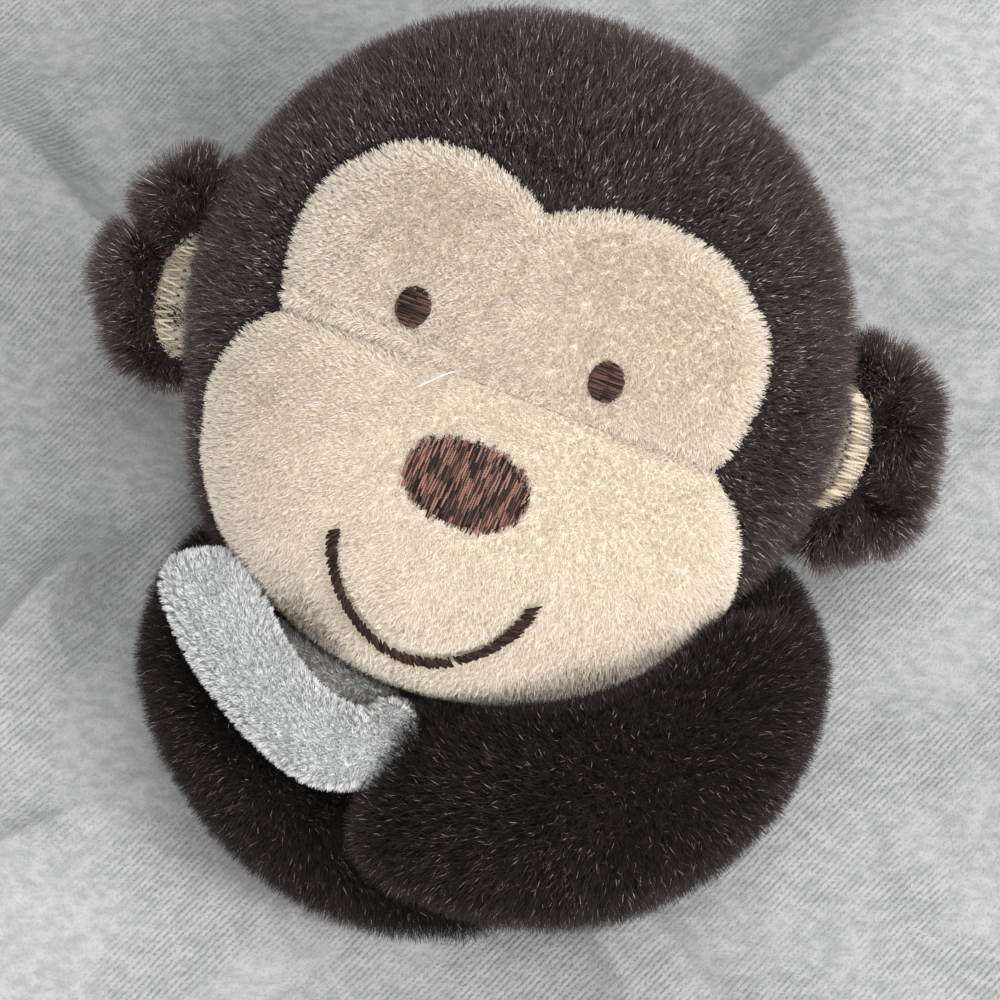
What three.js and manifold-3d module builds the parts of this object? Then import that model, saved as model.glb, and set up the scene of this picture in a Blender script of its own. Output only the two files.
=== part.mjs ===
// A monkey comforter: a stuffed head and two crossed arms, sewn to the middle of a folded square blanket.
// Millimetres, +Z up. The toy lies on its back on its blanket, face up, with its crown towards +Y.
// The origin is on the underside of the blanket, at the middle of its square.
import * as THREE from "three";
import { mergeVertices } from "three/addons/utils/BufferGeometryUtils.js";
import Module from "manifold-3d";

const wasm = await Module();
wasm.setup();

// Fabric and clearances
const CLEAR = 0.35; // between neighbouring pieces
const FUR = 2.6; // fur fabric: backing and dense pile
const PLUSH = 1.6; // short-pile fabric of the paws and ear linings
const VELOUR = 1.5; // each layer of the blanket
const THREAD = 1.1; // height of the embroidery
const PRESSED = 1.2; // how far a stuffed piece flattens where it rests

// Blanket
const BLANKET_SIDE = 340;
const BLANKET_FLAT_MARGIN = 7; // the flat middle reaches this far past the arms
const BLANKET_CORNER = 24; // power of the rounded square: higher is sharper
const FOLD_RUN = 42; // distance over which a fold rises to its full height
// Each fold runs outwards: its direction, half its spread in degrees, and its height
const FOLDS = [
  { at: 9, half: 12, high: 4 },
  { at: 54, half: 14, high: 3 },
  { at: 88, half: 13, high: 5 },
  { at: 120, half: 13, high: 4 },
  { at: 146, half: 12, high: 3 },
  { at: 184, half: 13, high: 5 },
  { at: 216, half: 12, high: 2 },
  { at: 252, half: 11, high: 3 },
  { at: 281, half: 10, high: 1.5 },
  { at: 299, half: 10, high: 1.5 },
  { at: 333, half: 13, high: 5 },
];
// Each ledge is a fold that breaks off steeply to the right of its line and falls away gently to its left.
// It starts to rise at its distance from the middle of the blanket.
const LEDGE_GENTLE = 24;
const LEDGE_STEEP = 8;
const LEDGE_RUN = 14;
const LEDGES = [
  { from: [112, 118], to: [38, 68.5], high: 8, near: 66 },
  { from: [-49, 14], to: [-150, -85], high: 8, near: 66 },
  { from: [-56, -35], to: [-150, -95], high: 5, near: 82 },
  { from: [-63.4, 55], to: [-150, 91], high: 6, near: 66 },
  { from: [-30, 77], to: [-160, 76], high: 4, near: 74 },
  { from: [13.2, -63.7], to: [64, -150], high: 4, near: 64 },
  { from: [110, -132], to: [24, -63.2], high: 4, near: 64 },
];

// Head: an oblate ball with a bulging muzzle, turned as it lies
const HEAD_X = 2.6;
const HEAD_Y = 22.9;
const HEAD_WIDTH = 99;
const HEAD_HEIGHT = 101;
const HEAD_DEPTH = 62;
const HEAD_ROLL = -20.9;
const HEAD_TILT = 14;
const HEAD_YAW = -1.5;
const HEAD_TURN_ON = 12; // towards lying straight, about the neck seam
const HEAD_TURN_BACK = -3; // as far as the right arm lets the right ear go
const MUZZLE_WIDTH = 84.6;
const MUZZLE_HEIGHT = 61.2;
const MUZZLE_DEPTH = 58;
const MUZZLE_DROP = 22.5;
const MUZZLE_FORWARD = 5.5;

// Face panels and embroidery, measured across the face from the middle of the head
const SEAM_DROP = 6.2; // the seam between brow and muzzle lies this far below the eyes
const NOTCH_X = 34; // where that seam meets the fur
const BROW_HALF = 35.5;
const BROW_TOP = 24.4;
const BROW_BOW = 2; // how far its sides and lobes swell
const BROW_CORNER = 5.5; // how much its upper corners are rounded off
const BROW_LOBE_X = 18;
const BROW_DIP = 19.2; // the dip between its two lobes
const CHEEK_DROP = 20; // level of the widest part of the cheeks
const EYE_X = 14.9;
const EYE_WIDTH = 5.4;
const EYE_HEIGHT = 6.2;
const NOSE_DROP = 20.4;
const NOSE_WIDTH = 18;
const NOSE_HEIGHT = 11.6;
const SMILE_DROP = 31; // centre of the smile's arc
const SMILE_RADIUS = 15.3;
const SMILE_WIDTH = 1.8;
const SMILE_SWEEP = 164; // degrees

// Ears, sewn into the seam between the front and the back of the head
const EAR_TURN = 5.5; // the pair sits this far round from the eye line
const EAR_STANDS_OUT = 2.2; // middle of an ear from the side of the head
const EAR_WIDTH = 27;
const EAR_HEIGHT = 36.5;
const EAR_THICK = 13;
const EAR_LINING_WIDTH = 11;
const EAR_LINING_HEIGHT = 21;
const EAR_LINING_SINK = 3.4; // depth of the dish that the lining lies in
const RIGHT_LINING_AT = -1; // along each ear from its middle, up on the right and down on the left
const LEFT_LINING_AT = 4.6;
const EAR_FORWARD = 32; // how far an ear folds towards the face
const EAR_BACK = -18;

// Arms: both follow one circle round the chin, from a flat sewn end to the wrist
const HUG_ASIDE = -6.3; // centre of the circle from the middle of the head
const HUG_DROP = HEAD_HEIGHT / 2 - 14.6;
const HUG_RADIUS = HEAD_WIDTH / 2 - 13.3;
const ARM_RADIUS = 17;
const ARM_SWELLS_BY = 0.32; // the share of its length where it reaches its full girth
const ARM_END_WIDE = 11; // half the width of the flat sewn end
const ARM_END_HIGH = 4.5;
const ARM_TIP_WIDE = 0.8; // the rounded tip beyond the sewn end, as shares of its size
const ARM_TIP_HIGH = 0.5;
const WRIST_STRAYS_FROM = 0.45; // the share of its length where the wrist end leaves the circle
const SHOULDER_AT = 0.06; // the shoulder hinge, as a share of the arm's length
const LEFT_AXIS_LEAN = 4; // the left arm rises a little as it swings out
const RIGHT_AXIS_LEAN = 32; // the right arm lifts off the left one as it swings out
const LEFT_FROM = 158;
const LEFT_TO = 277;
const LEFT_WRIST_WIDE = 10.5;
const LEFT_WRIST_HIGH = 4.6;
const LEFT_TAPERS_FROM = 0.5;
const LEFT_STANDS_OUT = 5.5; // its wrist comes this far outside the circle
const RIGHT_FROM = 20;
const RIGHT_TO = -111.3;
const RIGHT_WRIST_WIDE = 14.5;
const RIGHT_WRIST_HIGH = 8.5;
const RIGHT_TAPERS_FROM = 0.6;
const RIGHT_LIFT = 24; // the right arm climbs this far to cross over the left one
const RIGHT_LIFTS_FROM = 0.1;
const RIGHT_LIFTS_BY = 0.6;
const RIGHT_DRAW_IN = 4.5; // and its wrist comes this far in towards the chin
const RIGHT_BOW = 3; // its elbow stands this far outside the circle
const LEFT_OPENING = 26; // how far the left arm swings out
const RIGHT_OPENING = 40; // how far the right arm lifts off and swings out

// Paws
const PAW_LENGTH = 42;
const PAW_WRIST_HALF = 7.8;
const PAW_PALM_HALF = 9.5;
const PAW_PALM_FROM = 0.6; // the share of its length where it reaches that width
const PAW_HALF_THICK = 4.2;
const PAW_TIP = 0.38; // the share of its length that rounds off
const PAW_BLUNT = 0.12; // the share of its size left at the very tip
const RIGHT_PAW_AT = 5; // its wrist lies this far from the middle of the sleeve's end, towards the chin
const RIGHT_PAW_BOW = 7.8; // and it curls this far away from the chin, most of all near its wrist
const RIGHT_PAW_BOW_SKEW = 0.6;
const RIGHT_PAW_HEADING = 141;
const RIGHT_PAW_RISE = 5;
const LEFT_PAW_HEADING = 22;
const PAW_FOLDING = 55; // how far the free paw lifts

// Fineness of the round forms
const HEAD_SIDES = 28;
const HEAD_RINGS = 14;
const EAR_SIDES = 20;
const EAR_RINGS = 10;
const LIMB_SIDES = 12;
const LIMB_STEPS = 11;
const PAW_STEPS = 9;
const PANEL_STEPS = 8;
const BLANKET_SECTORS = 72;
const BLANKET_RINGS = [0, 0.08, 0.18, 0.32, 0.52, 0.75, 1]; // from the flat middle to the edge
const RELIEF_STEPS = 4;

const rad = THREE.MathUtils.degToRad;
const smooth = THREE.MathUtils.smoothstep;
const mix = THREE.MathUtils.lerp;
const UP = new THREE.Vector3(0, 0, 1);
const BLANKET_TOP = 2 * VELOUR + CLEAR;
const TABLE = BLANKET_TOP + CLEAR; // the lowest level of what lies on the blanket
const HUGE = 400;
const HUG_X = HEAD_X + HUG_ASIDE;
const HUG_Y = HEAD_Y - HUG_DROP;
const BLANKET_FLAT_RADIUS = HUG_RADIUS + ARM_RADIUS + BLANKET_FLAT_MARGIN;

// Solids from geometries and back

function solid(geometry) {
  const bare = new THREE.BufferGeometry();
  bare.setAttribute("position", geometry.getAttribute("position").clone());
  bare.setIndex(geometry.index);
  const merged = mergeVertices(bare, 1e-4);
  const mesh = new wasm.Mesh({
    numProp: 3,
    vertProperties: new Float32Array(merged.getAttribute("position").array),
    triVerts: new Uint32Array(merged.index.array),
  });
  return new wasm.Manifold(mesh);
}

function geometryOf(body) {
  const mesh = body.getMesh();
  const points = new Float32Array(mesh.numVert * 3);
  for (let i = 0; i < mesh.numVert; i++) {
    const from = i * mesh.numProp;
    points.set(mesh.vertProperties.subarray(from, from + 3), i * 3);
  }
  const geometry = new THREE.BufferGeometry();
  geometry.setAttribute("position", new THREE.BufferAttribute(points, 3));
  geometry.setIndex(new THREE.BufferAttribute(new Uint32Array(mesh.triVerts), 1));
  geometry.computeVertexNormals();
  return geometry;
}

function moved(body, matrix) {
  return body.transform(matrix.elements);
}

// The largest body of a cut, without the slivers that a cut may leave
function main(body) {
  const bodies = body.decompose();
  bodies.sort((a, b) => b.volume() - a.volume());
  return bodies[0];
}

function turnAbout(pivot, axis, degrees) {
  const turn = new THREE.Matrix4().makeRotationAxis(axis, rad(degrees));
  const back = new THREE.Matrix4().makeTranslation(-pivot.x, -pivot.y, -pivot.z);
  const out = new THREE.Matrix4().makeTranslation(pivot.x, pivot.y, pivot.z);
  return out.multiply(turn).multiply(back);
}

// Cuts away what would run into an obstacle anywhere between two angles of a hinge
function relieved(body, obstacle, pivot, axis, from, to) {
  let left = body;
  for (let i = 0; i <= RELIEF_STEPS; i++) {
    const angle = mix(from, to, i / RELIEF_STEPS);
    left = left.subtract(moved(obstacle, turnAbout(pivot, axis, -angle)));
  }
  return main(left);
}

function ellipsoid(width, height, depth, x, y, z, grow = 0, sides = HEAD_SIDES, rings = HEAD_RINGS) {
  const ball = new THREE.SphereGeometry(1, sides, rings);
  ball.rotateX(Math.PI / 2);
  ball.scale(width / 2 + grow, height / 2 + grow, depth / 2 + grow);
  ball.translate(x, y, z);
  return solid(ball);
}

function block(x0, x1, y0, y1, z0, z1) {
  const box = new THREE.BoxGeometry(x1 - x0, y1 - y0, z1 - z0);
  box.translate((x0 + x1) / 2, (y0 + y1) / 2, (z0 + z1) / 2);
  return solid(box);
}

function above(level) {
  return block(-HUGE, HUGE, -HUGE, HUGE, level, HUGE);
}

function below(level) {
  return block(-HUGE, HUGE, -HUGE, HUGE, -HUGE, level);
}

// A straight prism of a flat outline, along Z
function prism(outline, z0, z1) {
  const shape = new THREE.Shape(outline);
  const geometry = new THREE.ExtrudeGeometry(shape, { depth: z1 - z0, bevelEnabled: false });
  geometry.translate(0, 0, z0);
  return solid(geometry);
}

// An outline moved outwards by a distance, for the gap round a panel
function grown(points, distance) {
  const n = points.length;
  return points.map((p, i) => {
    const before = points[(i + n - 1) % n];
    const after = points[(i + 1) % n];
    const along = after.clone().sub(before).normalize();
    return new THREE.Vector2(p.x + along.y * distance, p.y - along.x * distance);
  });
}

// A closed skin through oval stations, each with its centre, side and up directions and half sizes
function loft(stations, sides = LIMB_SIDES) {
  const points = [];
  const faces = [];
  for (const s of stations)
    for (let k = 0; k < sides; k++) {
      const a = (2 * Math.PI * k) / sides;
      const p = s.centre.clone();
      p.addScaledVector(s.side, s.wide * Math.cos(a));
      p.addScaledVector(s.up, s.high * Math.sin(a));
      points.push(p);
    }
  const last = stations.length - 1;
  const first = points.push(stations[0].centre.clone()) - 1;
  const end = points.push(stations[last].centre.clone()) - 1;
  for (let k = 0; k < sides; k++) {
    const next = (k + 1) % sides;
    faces.push(first, next, k, end, last * sides + k, last * sides + next);
    for (let i = 0; i < last; i++) {
      const a = i * sides + k;
      const b = i * sides + next;
      faces.push(a, b, a + sides, b, b + sides, a + sides);
    }
  }
  const geometry = new THREE.BufferGeometry().setFromPoints(points);
  geometry.setIndex(faces);
  return solid(geometry);
}

function station(curve, t, girth, grow) {
  const along = curve.getTangent(t);
  const up = UP.clone().addScaledVector(along, -UP.dot(along)).normalize();
  const side = up.clone().cross(along);
  return { centre: curve.getPoint(t), side, up, wide: girth.wide + grow, high: girth.high + grow };
}

// Head

const headTurn = new THREE.Matrix4()
  .makeRotationX(rad(HEAD_TILT))
  .multiply(new THREE.Matrix4().makeRotationZ(rad(HEAD_ROLL)))
  .multiply(new THREE.Matrix4().makeRotationY(rad(HEAD_YAW)));
// The lowest point of the turned ball, from the ball's own support in the direction straight down
const downInHead = new THREE.Vector3(0, 0, -1).transformDirection(headTurn.clone().transpose());
const headAxes = new THREE.Vector3(HEAD_WIDTH / 2, HEAD_HEIGHT / 2, HEAD_DEPTH / 2);
const headReach = downInHead.clone().multiply(headAxes).length();
const lowestInHead = downInHead.clone().multiply(headAxes).multiply(headAxes).divideScalar(headReach);
const HEAD_Z = TABLE + headReach - PRESSED;
const headPlace = new THREE.Matrix4().makeTranslation(HEAD_X, HEAD_Y, HEAD_Z).multiply(headTurn);
const neck = lowestInHead.clone().applyMatrix4(headPlace).setZ(BLANKET_TOP);

function headVolume(grow) {
  const ball = ellipsoid(HEAD_WIDTH, HEAD_HEIGHT, HEAD_DEPTH, 0, 0, 0, grow);
  const muzzle = ellipsoid(MUZZLE_WIDTH, MUZZLE_HEIGHT, MUZZLE_DEPTH, 0, -MUZZLE_DROP, MUZZLE_FORWARD, grow);
  return ball.add(muzzle);
}

function inHead(body) {
  return moved(body, headPlace.clone().invert());
}

// The right half of the brow, from its notch to the dip, and its mirror image
function browOutline() {
  const seam = CLEAR - SEAM_DROP;
  const cornerX = BROW_HALF - BROW_CORNER;
  const cornerY = BROW_TOP - BROW_CORNER;
  const side = BROW_HALF + BROW_BOW;
  const top = BROW_TOP + BROW_BOW;
  const half = new THREE.Path();
  half.moveTo(NOTCH_X, seam);
  half.bezierCurveTo(side, cornerY / 4, side, (cornerY * 3) / 4, cornerX, cornerY);
  half.bezierCurveTo(cornerX - BROW_CORNER, top, BROW_LOBE_X / 2, top, 0, BROW_DIP);
  const points = half.getPoints(PANEL_STEPS);
  const mirrored = points.slice(0, -1).reverse().map((p) => new THREE.Vector2(-p.x, p.y));
  return [...points, ...mirrored];
}

function muzzleOutline() {
  const shape = new THREE.Shape();
  const knee = (SEAM_DROP + CHEEK_DROP) / 2;
  const cheek = MUZZLE_WIDTH / 2 - CLEAR;
  const chin = MUZZLE_DROP + MUZZLE_HEIGHT / 2;
  shape.moveTo(NOTCH_X, -SEAM_DROP);
  shape.lineTo(-NOTCH_X, -SEAM_DROP);
  shape.quadraticCurveTo(-cheek, -knee, -cheek, -CHEEK_DROP);
  shape.absellipse(0, -CHEEK_DROP, cheek, chin - CHEEK_DROP, Math.PI, 2 * Math.PI, false, 0);
  shape.quadraticCurveTo(cheek, -knee, NOTCH_X, -SEAM_DROP);
  return shape.getPoints(PANEL_STEPS).slice(0, -1);
}

function oval(x, y, width, height) {
  const curve = new THREE.EllipseCurve(x, y, width / 2, height / 2, 0, 2 * Math.PI);
  return curve.getPoints(2 * PANEL_STEPS).slice(0, -1);
}

function smileOutline() {
  const half = rad(SMILE_SWEEP / 2);
  const down = -Math.PI / 2;
  const arc = (radius, from, to, backwards) =>
    new THREE.EllipseCurve(0, -SMILE_DROP, radius, radius, from, to, backwards).getPoints(2 * PANEL_STEPS);
  const outer = arc(SMILE_RADIUS + SMILE_WIDTH / 2, down - half, down + half, false);
  const inner = arc(SMILE_RADIUS - SMILE_WIDTH / 2, down + half, down - half, true);
  return [...outer, ...inner];
}

function headSolids() {
  const table = inHead(above(TABLE));
  const outside = headVolume(0).intersect(table);
  const inside = headVolume(-FUR).intersect(inHead(above(TABLE + FUR)));
  const filling = headVolume(-FUR - CLEAR).intersect(inHead(above(TABLE + FUR + CLEAR)));
  const skin = outside.subtract(inside);
  const brow = prism(browOutline(), 0, HUGE);
  const muzzle = prism(muzzleOutline(), 0, HUGE);
  const browOpening = prism(grown(browOutline(), CLEAR), 0, HUGE);
  const muzzleOpening = prism(grown(muzzleOutline(), CLEAR), 0, HUGE);
  const front = block(-HUGE, HUGE, -HUGE, HUGE, CLEAR / 2, HUGE);
  const backLeft = block(-HUGE, -CLEAR / 2, -HUGE, HUGE, -HUGE, -CLEAR / 2);
  const backRight = block(CLEAR / 2, HUGE, -HUGE, HUGE, -HUGE, -CLEAR / 2);
  const thread = headVolume(CLEAR + THREAD).subtract(headVolume(CLEAR));
  const stitched = (outline) => main(thread.intersect(prism(outline, 0, HUGE)));
  return {
    head_front_fur: main(skin.subtract(browOpening).subtract(muzzleOpening).intersect(front)),
    head_back_left_fur: main(skin.intersect(backLeft)),
    head_back_right_fur: main(skin.intersect(backRight)),
    brow_panel: main(skin.intersect(brow).intersect(front)),
    muzzle_panel: main(skin.intersect(muzzle).intersect(front)),
    head_stuffing: filling,
    left_eye_embroidery: stitched(oval(-EYE_X, 0, EYE_WIDTH, EYE_HEIGHT)),
    right_eye_embroidery: stitched(oval(EYE_X, 0, EYE_WIDTH, EYE_HEIGHT)),
    nose_embroidery: stitched(oval(0, -NOSE_DROP, NOSE_WIDTH, NOSE_HEIGHT)),
    smile_embroidery: stitched(smileOutline()),
  };
}

// Ears, each in its own frame with X straight out from the head

const earPivot = new THREE.Vector3(HEAD_WIDTH / 2 + CLEAR, 0, 0);
const earAxis = new THREE.Vector3(0, -1, 0);

function earPad(grow) {
  const reach = HEAD_WIDTH / 2 + EAR_STANDS_OUT;
  return ellipsoid(EAR_WIDTH, EAR_HEIGHT, EAR_THICK, reach, 0, 0, grow, EAR_SIDES, EAR_RINGS);
}

function earSolids(turn, liningAt) {
  const place = new THREE.Matrix4().makeRotationZ(rad(turn));
  const head = moved(headVolume(CLEAR), place.clone().invert());
  const pad = earPad(0);
  const dishAt = earPivot.x + EAR_LINING_WIDTH / 4;
  const dishDeep = EAR_LINING_HEIGHT / 2;
  const level = (EAR_THICK + dishDeep) / 2 - EAR_LINING_SINK;
  const dish = (grow, rise) => ellipsoid(EAR_LINING_WIDTH, EAR_LINING_HEIGHT, dishDeep,
    dishAt, liningAt, level + rise, grow, EAR_SIDES, EAR_RINGS);
  const lining = dish(-CLEAR, 0).subtract(dish(-CLEAR, PLUSH)).intersect(pad);
  const relief = (body) => relieved(body, head, earPivot, earAxis, EAR_BACK, EAR_FORWARD);
  return { fur: relief(pad.subtract(dish(0, 0))), lining: relief(lining) };
}

// Arms and paws

const LEFT = {
  from: LEFT_FROM, to: LEFT_TO, lift: 0, drawIn: -LEFT_STANDS_OUT, bow: 0,
  tapersFrom: LEFT_TAPERS_FROM, wristWide: LEFT_WRIST_WIDE, wristHigh: LEFT_WRIST_HIGH,
};
const RIGHT = {
  from: RIGHT_FROM, to: RIGHT_TO, lift: RIGHT_LIFT, drawIn: RIGHT_DRAW_IN, bow: RIGHT_BOW,
  tapersFrom: RIGHT_TAPERS_FROM, wristWide: RIGHT_WRIST_WIDE, wristHigh: RIGHT_WRIST_HIGH,
};

// The arm's middle line, by shares of its length
function armCurve(arm) {
  const points = [];
  for (let i = 0; i <= LIMB_STEPS; i++) {
    const s = i / LIMB_STEPS;
    const angle = rad(mix(arm.from, arm.to, s));
    const drawn = arm.drawIn * smooth(s, WRIST_STRAYS_FROM, 1);
    const radius = HUG_RADIUS + arm.bow * Math.sin(Math.PI * s) - drawn;
    const lifted = arm.lift * smooth(s, RIGHT_LIFTS_FROM, RIGHT_LIFTS_BY);
    const level = TABLE - PRESSED + armGirth(arm, s).high + lifted;
    points.push(new THREE.Vector3(HUG_X + radius * Math.cos(angle), HUG_Y + radius * Math.sin(angle), level));
  }
  return new THREE.CatmullRomCurve3(points);
}

function armGirth(arm, s) {
  const swell = smooth(s, 0, ARM_SWELLS_BY);
  const taper = smooth(s, arm.tapersFrom, 1);
  return {
    wide: mix(mix(ARM_END_WIDE, ARM_RADIUS, swell), arm.wristWide, taper),
    high: mix(mix(ARM_END_HIGH, ARM_RADIUS, swell), arm.wristHigh, taper),
  };
}

// The whole arm, with its wrist end carried on by a distance so that a smaller copy opens it there
function armVolume(arm, grow, carryOn = 0) {
  const curve = armCurve(arm);
  const stations = [];
  for (let i = 0; i <= LIMB_STEPS; i++) {
    const s = i / LIMB_STEPS;
    stations.push(station(curve, s, armGirth(arm, s), grow));
  }
  const sewn = stations[0];
  const tip = sewn.centre.clone().addScaledVector(curve.getTangent(0), -ARM_END_HIGH - grow);
  stations.unshift({ ...sewn, centre: tip, wide: sewn.wide * ARM_TIP_WIDE, high: sewn.high * ARM_TIP_HIGH });
  if (carryOn > 0) {
    const wrist = stations[stations.length - 1];
    const beyond = wrist.centre.clone().addScaledVector(curve.getTangent(1), carryOn);
    stations.push({ ...wrist, centre: beyond });
  }
  return loft(stations);
}

// A paw is a flat mitten from the wrist to a round tip
function pawVolume(start, heading, rise, bow, grow, carryBack = 0) {
  const along = new THREE.Vector3(Math.cos(rad(heading)), Math.sin(rad(heading)), 0);
  const side = UP.clone().cross(along);
  const length = PAW_LENGTH + grow;
  const stations = [];
  for (let i = 0; i <= PAW_STEPS; i++) {
    const s = i / PAW_STEPS;
    const share = Math.sin((s * Math.PI) / 2);
    const intoTip = Math.max(0, (share - 1 + PAW_TIP) / PAW_TIP);
    const round = Math.max(PAW_BLUNT, Math.sqrt(1 - intoTip ** 2));
    const centre = start.clone().addScaledVector(along, length * share);
    centre.z += rise * smooth(s, 0, 1);
    centre.addScaledVector(side, bow * Math.sin(Math.PI * share ** RIGHT_PAW_BOW_SKEW));
    const half = mix(PAW_WRIST_HALF, PAW_PALM_HALF, smooth(s, 0, PAW_PALM_FROM));
    stations.push({ centre, side, up: UP, wide: (half + grow) * round, high: (PAW_HALF_THICK + grow) * round });
  }
  if (carryBack > 0) {
    const wrist = stations[0];
    stations.unshift({ ...wrist, centre: wrist.centre.clone().addScaledVector(along, -carryBack) });
  }
  return loft(stations);
}

// Hinges of the limbs

const leftShoulder = armCurve(LEFT).getPoint(SHOULDER_AT).setZ(TABLE);
const rightShoulder = armCurve(RIGHT).getPoint(SHOULDER_AT).setZ(TABLE);
const leaning = (degrees) => new THREE.Vector3(0, Math.sin(rad(degrees)), Math.cos(rad(degrees)));
const leftArmAxis = leaning(LEFT_AXIS_LEAN).negate();
const rightArmAxis = leaning(RIGHT_AXIS_LEAN);
const rightSleeveEnd = armCurve(RIGHT).getPoint(1);
const towardsChin = new THREE.Vector3(HUG_X, HUG_Y, rightSleeveEnd.z).sub(rightSleeveEnd).setLength(RIGHT_PAW_AT);
const rightWrist = rightSleeveEnd.clone().add(towardsChin);
const leftWrist = armCurve(LEFT).getPoint(1).setZ(TABLE + PAW_HALF_THICK);
const rightPawPivot = rightWrist.clone().setZ(rightWrist.z + PAW_HALF_THICK);
const rightPawAxis = new THREE.Vector3(1, 0, 0).applyAxisAngle(UP, rad(RIGHT_PAW_HEADING - 90));

// The head and its right ear as an obstacle, at rest and at the ends of their hinges
function sweptHead(grow) {
  const toEar = new THREE.Matrix4().makeRotationZ(rad(EAR_TURN));
  let head = headVolume(grow);
  for (const fold of [EAR_BACK, 0, EAR_FORWARD])
    head = head.add(moved(earPad(grow), toEar.clone().multiply(turnAbout(earPivot, earAxis, fold))));
  const placed = moved(head, headPlace);
  const on = moved(placed, turnAbout(neck, UP, HEAD_TURN_ON));
  const back = moved(placed, turnAbout(neck, UP, HEAD_TURN_BACK));
  return placed.add(on).add(back);
}

// A fabric sleeve open at one end, and the stuffing that fills it, from one shape that can be made smaller
function sleeveAndFilling(shape, fabric) {
  const sleeve = shape(0, 0).subtract(shape(-fabric, fabric + CLEAR));
  return { sleeve: main(sleeve), filling: main(shape(-fabric - CLEAR, 0)) };
}

function rightArmShape(inset, carryOn) {
  const around = sweptHead(CLEAR - inset).add(below(TABLE - inset));
  return relieved(armVolume(RIGHT, inset, carryOn), around, rightShoulder, rightArmAxis, 0, RIGHT_OPENING);
}

function leftArmShape(inset, carryOn) {
  const free = armVolume(LEFT, inset, carryOn).subtract(sweptHead(CLEAR - inset));
  const over = armVolume(RIGHT, CLEAR - inset).add(rightPawVolume(CLEAR - inset, 0));
  const clear = relieved(free, over, leftShoulder, leftArmAxis, 0, LEFT_OPENING);
  return main(clear.intersect(above(TABLE - inset)));
}

function rightPawVolume(grow, carryBack) {
  return pawVolume(rightWrist, RIGHT_PAW_HEADING, RIGHT_PAW_RISE, RIGHT_PAW_BOW, grow, carryBack);
}

function rightPawShape(inset, carryBack) {
  const lifting = (body, obstacle) => relieved(body, obstacle, rightPawPivot, rightPawAxis, 0, PAW_FOLDING);
  const free = lifting(rightPawVolume(inset, carryBack), sweptHead(CLEAR - inset));
  return carryBack > 0 ? free : lifting(free, armVolume(RIGHT, CLEAR, CLEAR));
}

function leftPawShape(inset, carryBack) {
  const free = pawVolume(leftWrist, LEFT_PAW_HEADING, 0, 0, inset, carryBack);
  const over = armVolume(RIGHT, CLEAR - inset);
  const clear = relieved(free, over, leftShoulder, leftArmAxis, 0, LEFT_OPENING);
  const seated = main(clear.intersect(above(TABLE - inset)));
  return carryBack > 0 ? seated : main(seated.subtract(armVolume(LEFT, CLEAR, CLEAR)));
}

// Blanket: two layers with the same folds, round a flat middle

function foldHeight(angle, distance, edge) {
  const run = Math.min(FOLD_RUN, edge - BLANKET_FLAT_RADIUS);
  const rise = smooth(distance, BLANKET_FLAT_RADIUS, BLANKET_FLAT_RADIUS + run);
  let height = 0;
  for (const fold of FOLDS) {
    const off = THREE.MathUtils.euclideanModulo(angle - fold.at + 180, 360) - 180;
    if (Math.abs(off) < fold.half) height += fold.high * Math.cos((Math.PI * off) / fold.half / 2) ** 2;
  }
  return height * rise;
}

function ledgeHeight(spot) {
  let height = 0;
  for (const ledge of LEDGES) {
    const from = new THREE.Vector2(...ledge.from);
    const along = new THREE.Vector2(...ledge.to).sub(from);
    const across = spot.clone().sub(from);
    const share = THREE.MathUtils.clamp(across.dot(along) / along.lengthSq(), 0, 1);
    across.addScaledVector(along, -share);
    const width = along.cross(across) > 0 ? LEDGE_GENTLE : LEDGE_STEEP;
    const rise = smooth(spot.length(), ledge.near, ledge.near + LEDGE_RUN);
    height += ledge.high * rise * Math.exp(-((across.length() / width) ** 2));
  }
  return height;
}

function blanketLayer(level) {
  const points = [];
  const faces = [];
  const n = BLANKET_SECTORS;
  const rings = BLANKET_RINGS.length;
  for (const z of [level, level + VELOUR]) {
    points.push(new THREE.Vector3(0, 0, z));
    for (const share of BLANKET_RINGS)
      for (let k = 0; k < n; k++) {
        const angle = (2 * Math.PI * k) / n;
        const c = Math.cos(angle);
        const s = Math.sin(angle);
        const square = Math.abs(c) ** BLANKET_CORNER + Math.abs(s) ** BLANKET_CORNER;
        const edge = BLANKET_SIDE / 2 / square ** (1 / BLANKET_CORNER);
        const distance = mix(BLANKET_FLAT_RADIUS, edge, share);
        const spot = new THREE.Vector2(distance * c, distance * s);
        const height = foldHeight(THREE.MathUtils.radToDeg(angle), distance, edge) + ledgeHeight(spot);
        points.push(new THREE.Vector3(spot.x, spot.y, z + height));
      }
  }
  const upper = 1 + rings * n;
  for (let k = 0; k < n; k++) {
    const next = (k + 1) % n;
    faces.push(0, 1 + next, 1 + k, upper, upper + 1 + k, upper + 1 + next);
    for (let i = 0; i + 1 < rings; i++) {
      const a = 1 + i * n + k;
      const b = 1 + i * n + next;
      faces.push(a, b, a + n, b, b + n, a + n);
      faces.push(upper + a, upper + a + n, upper + b, upper + b, upper + a + n, upper + b + n);
    }
    const a = 1 + (rings - 1) * n + k;
    const b = 1 + (rings - 1) * n + next;
    faces.push(a, b, upper + a, b, upper + b, upper + a);
  }
  const geometry = new THREE.BufferGeometry().setFromPoints(points);
  geometry.setIndex(faces);
  return solid(geometry);
}

// Finishes

const finish = (color, roughness) => new THREE.MeshStandardMaterial({ color, roughness, metalness: 0 });
const brownFur = () => finish(0x3d302e, 0.9);
const tanPlush = () => finish(0xd3c3a9, 0.95);
const greyPlush = () => finish(0xc3c6c6, 0.95);
const greyVelour = () => finish(0xb9babb, 0.95);
const brownThread = () => finish(0x4b302d, 0.5);
const fibreFill = () => finish(0xf2f0ea, 1);

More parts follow.
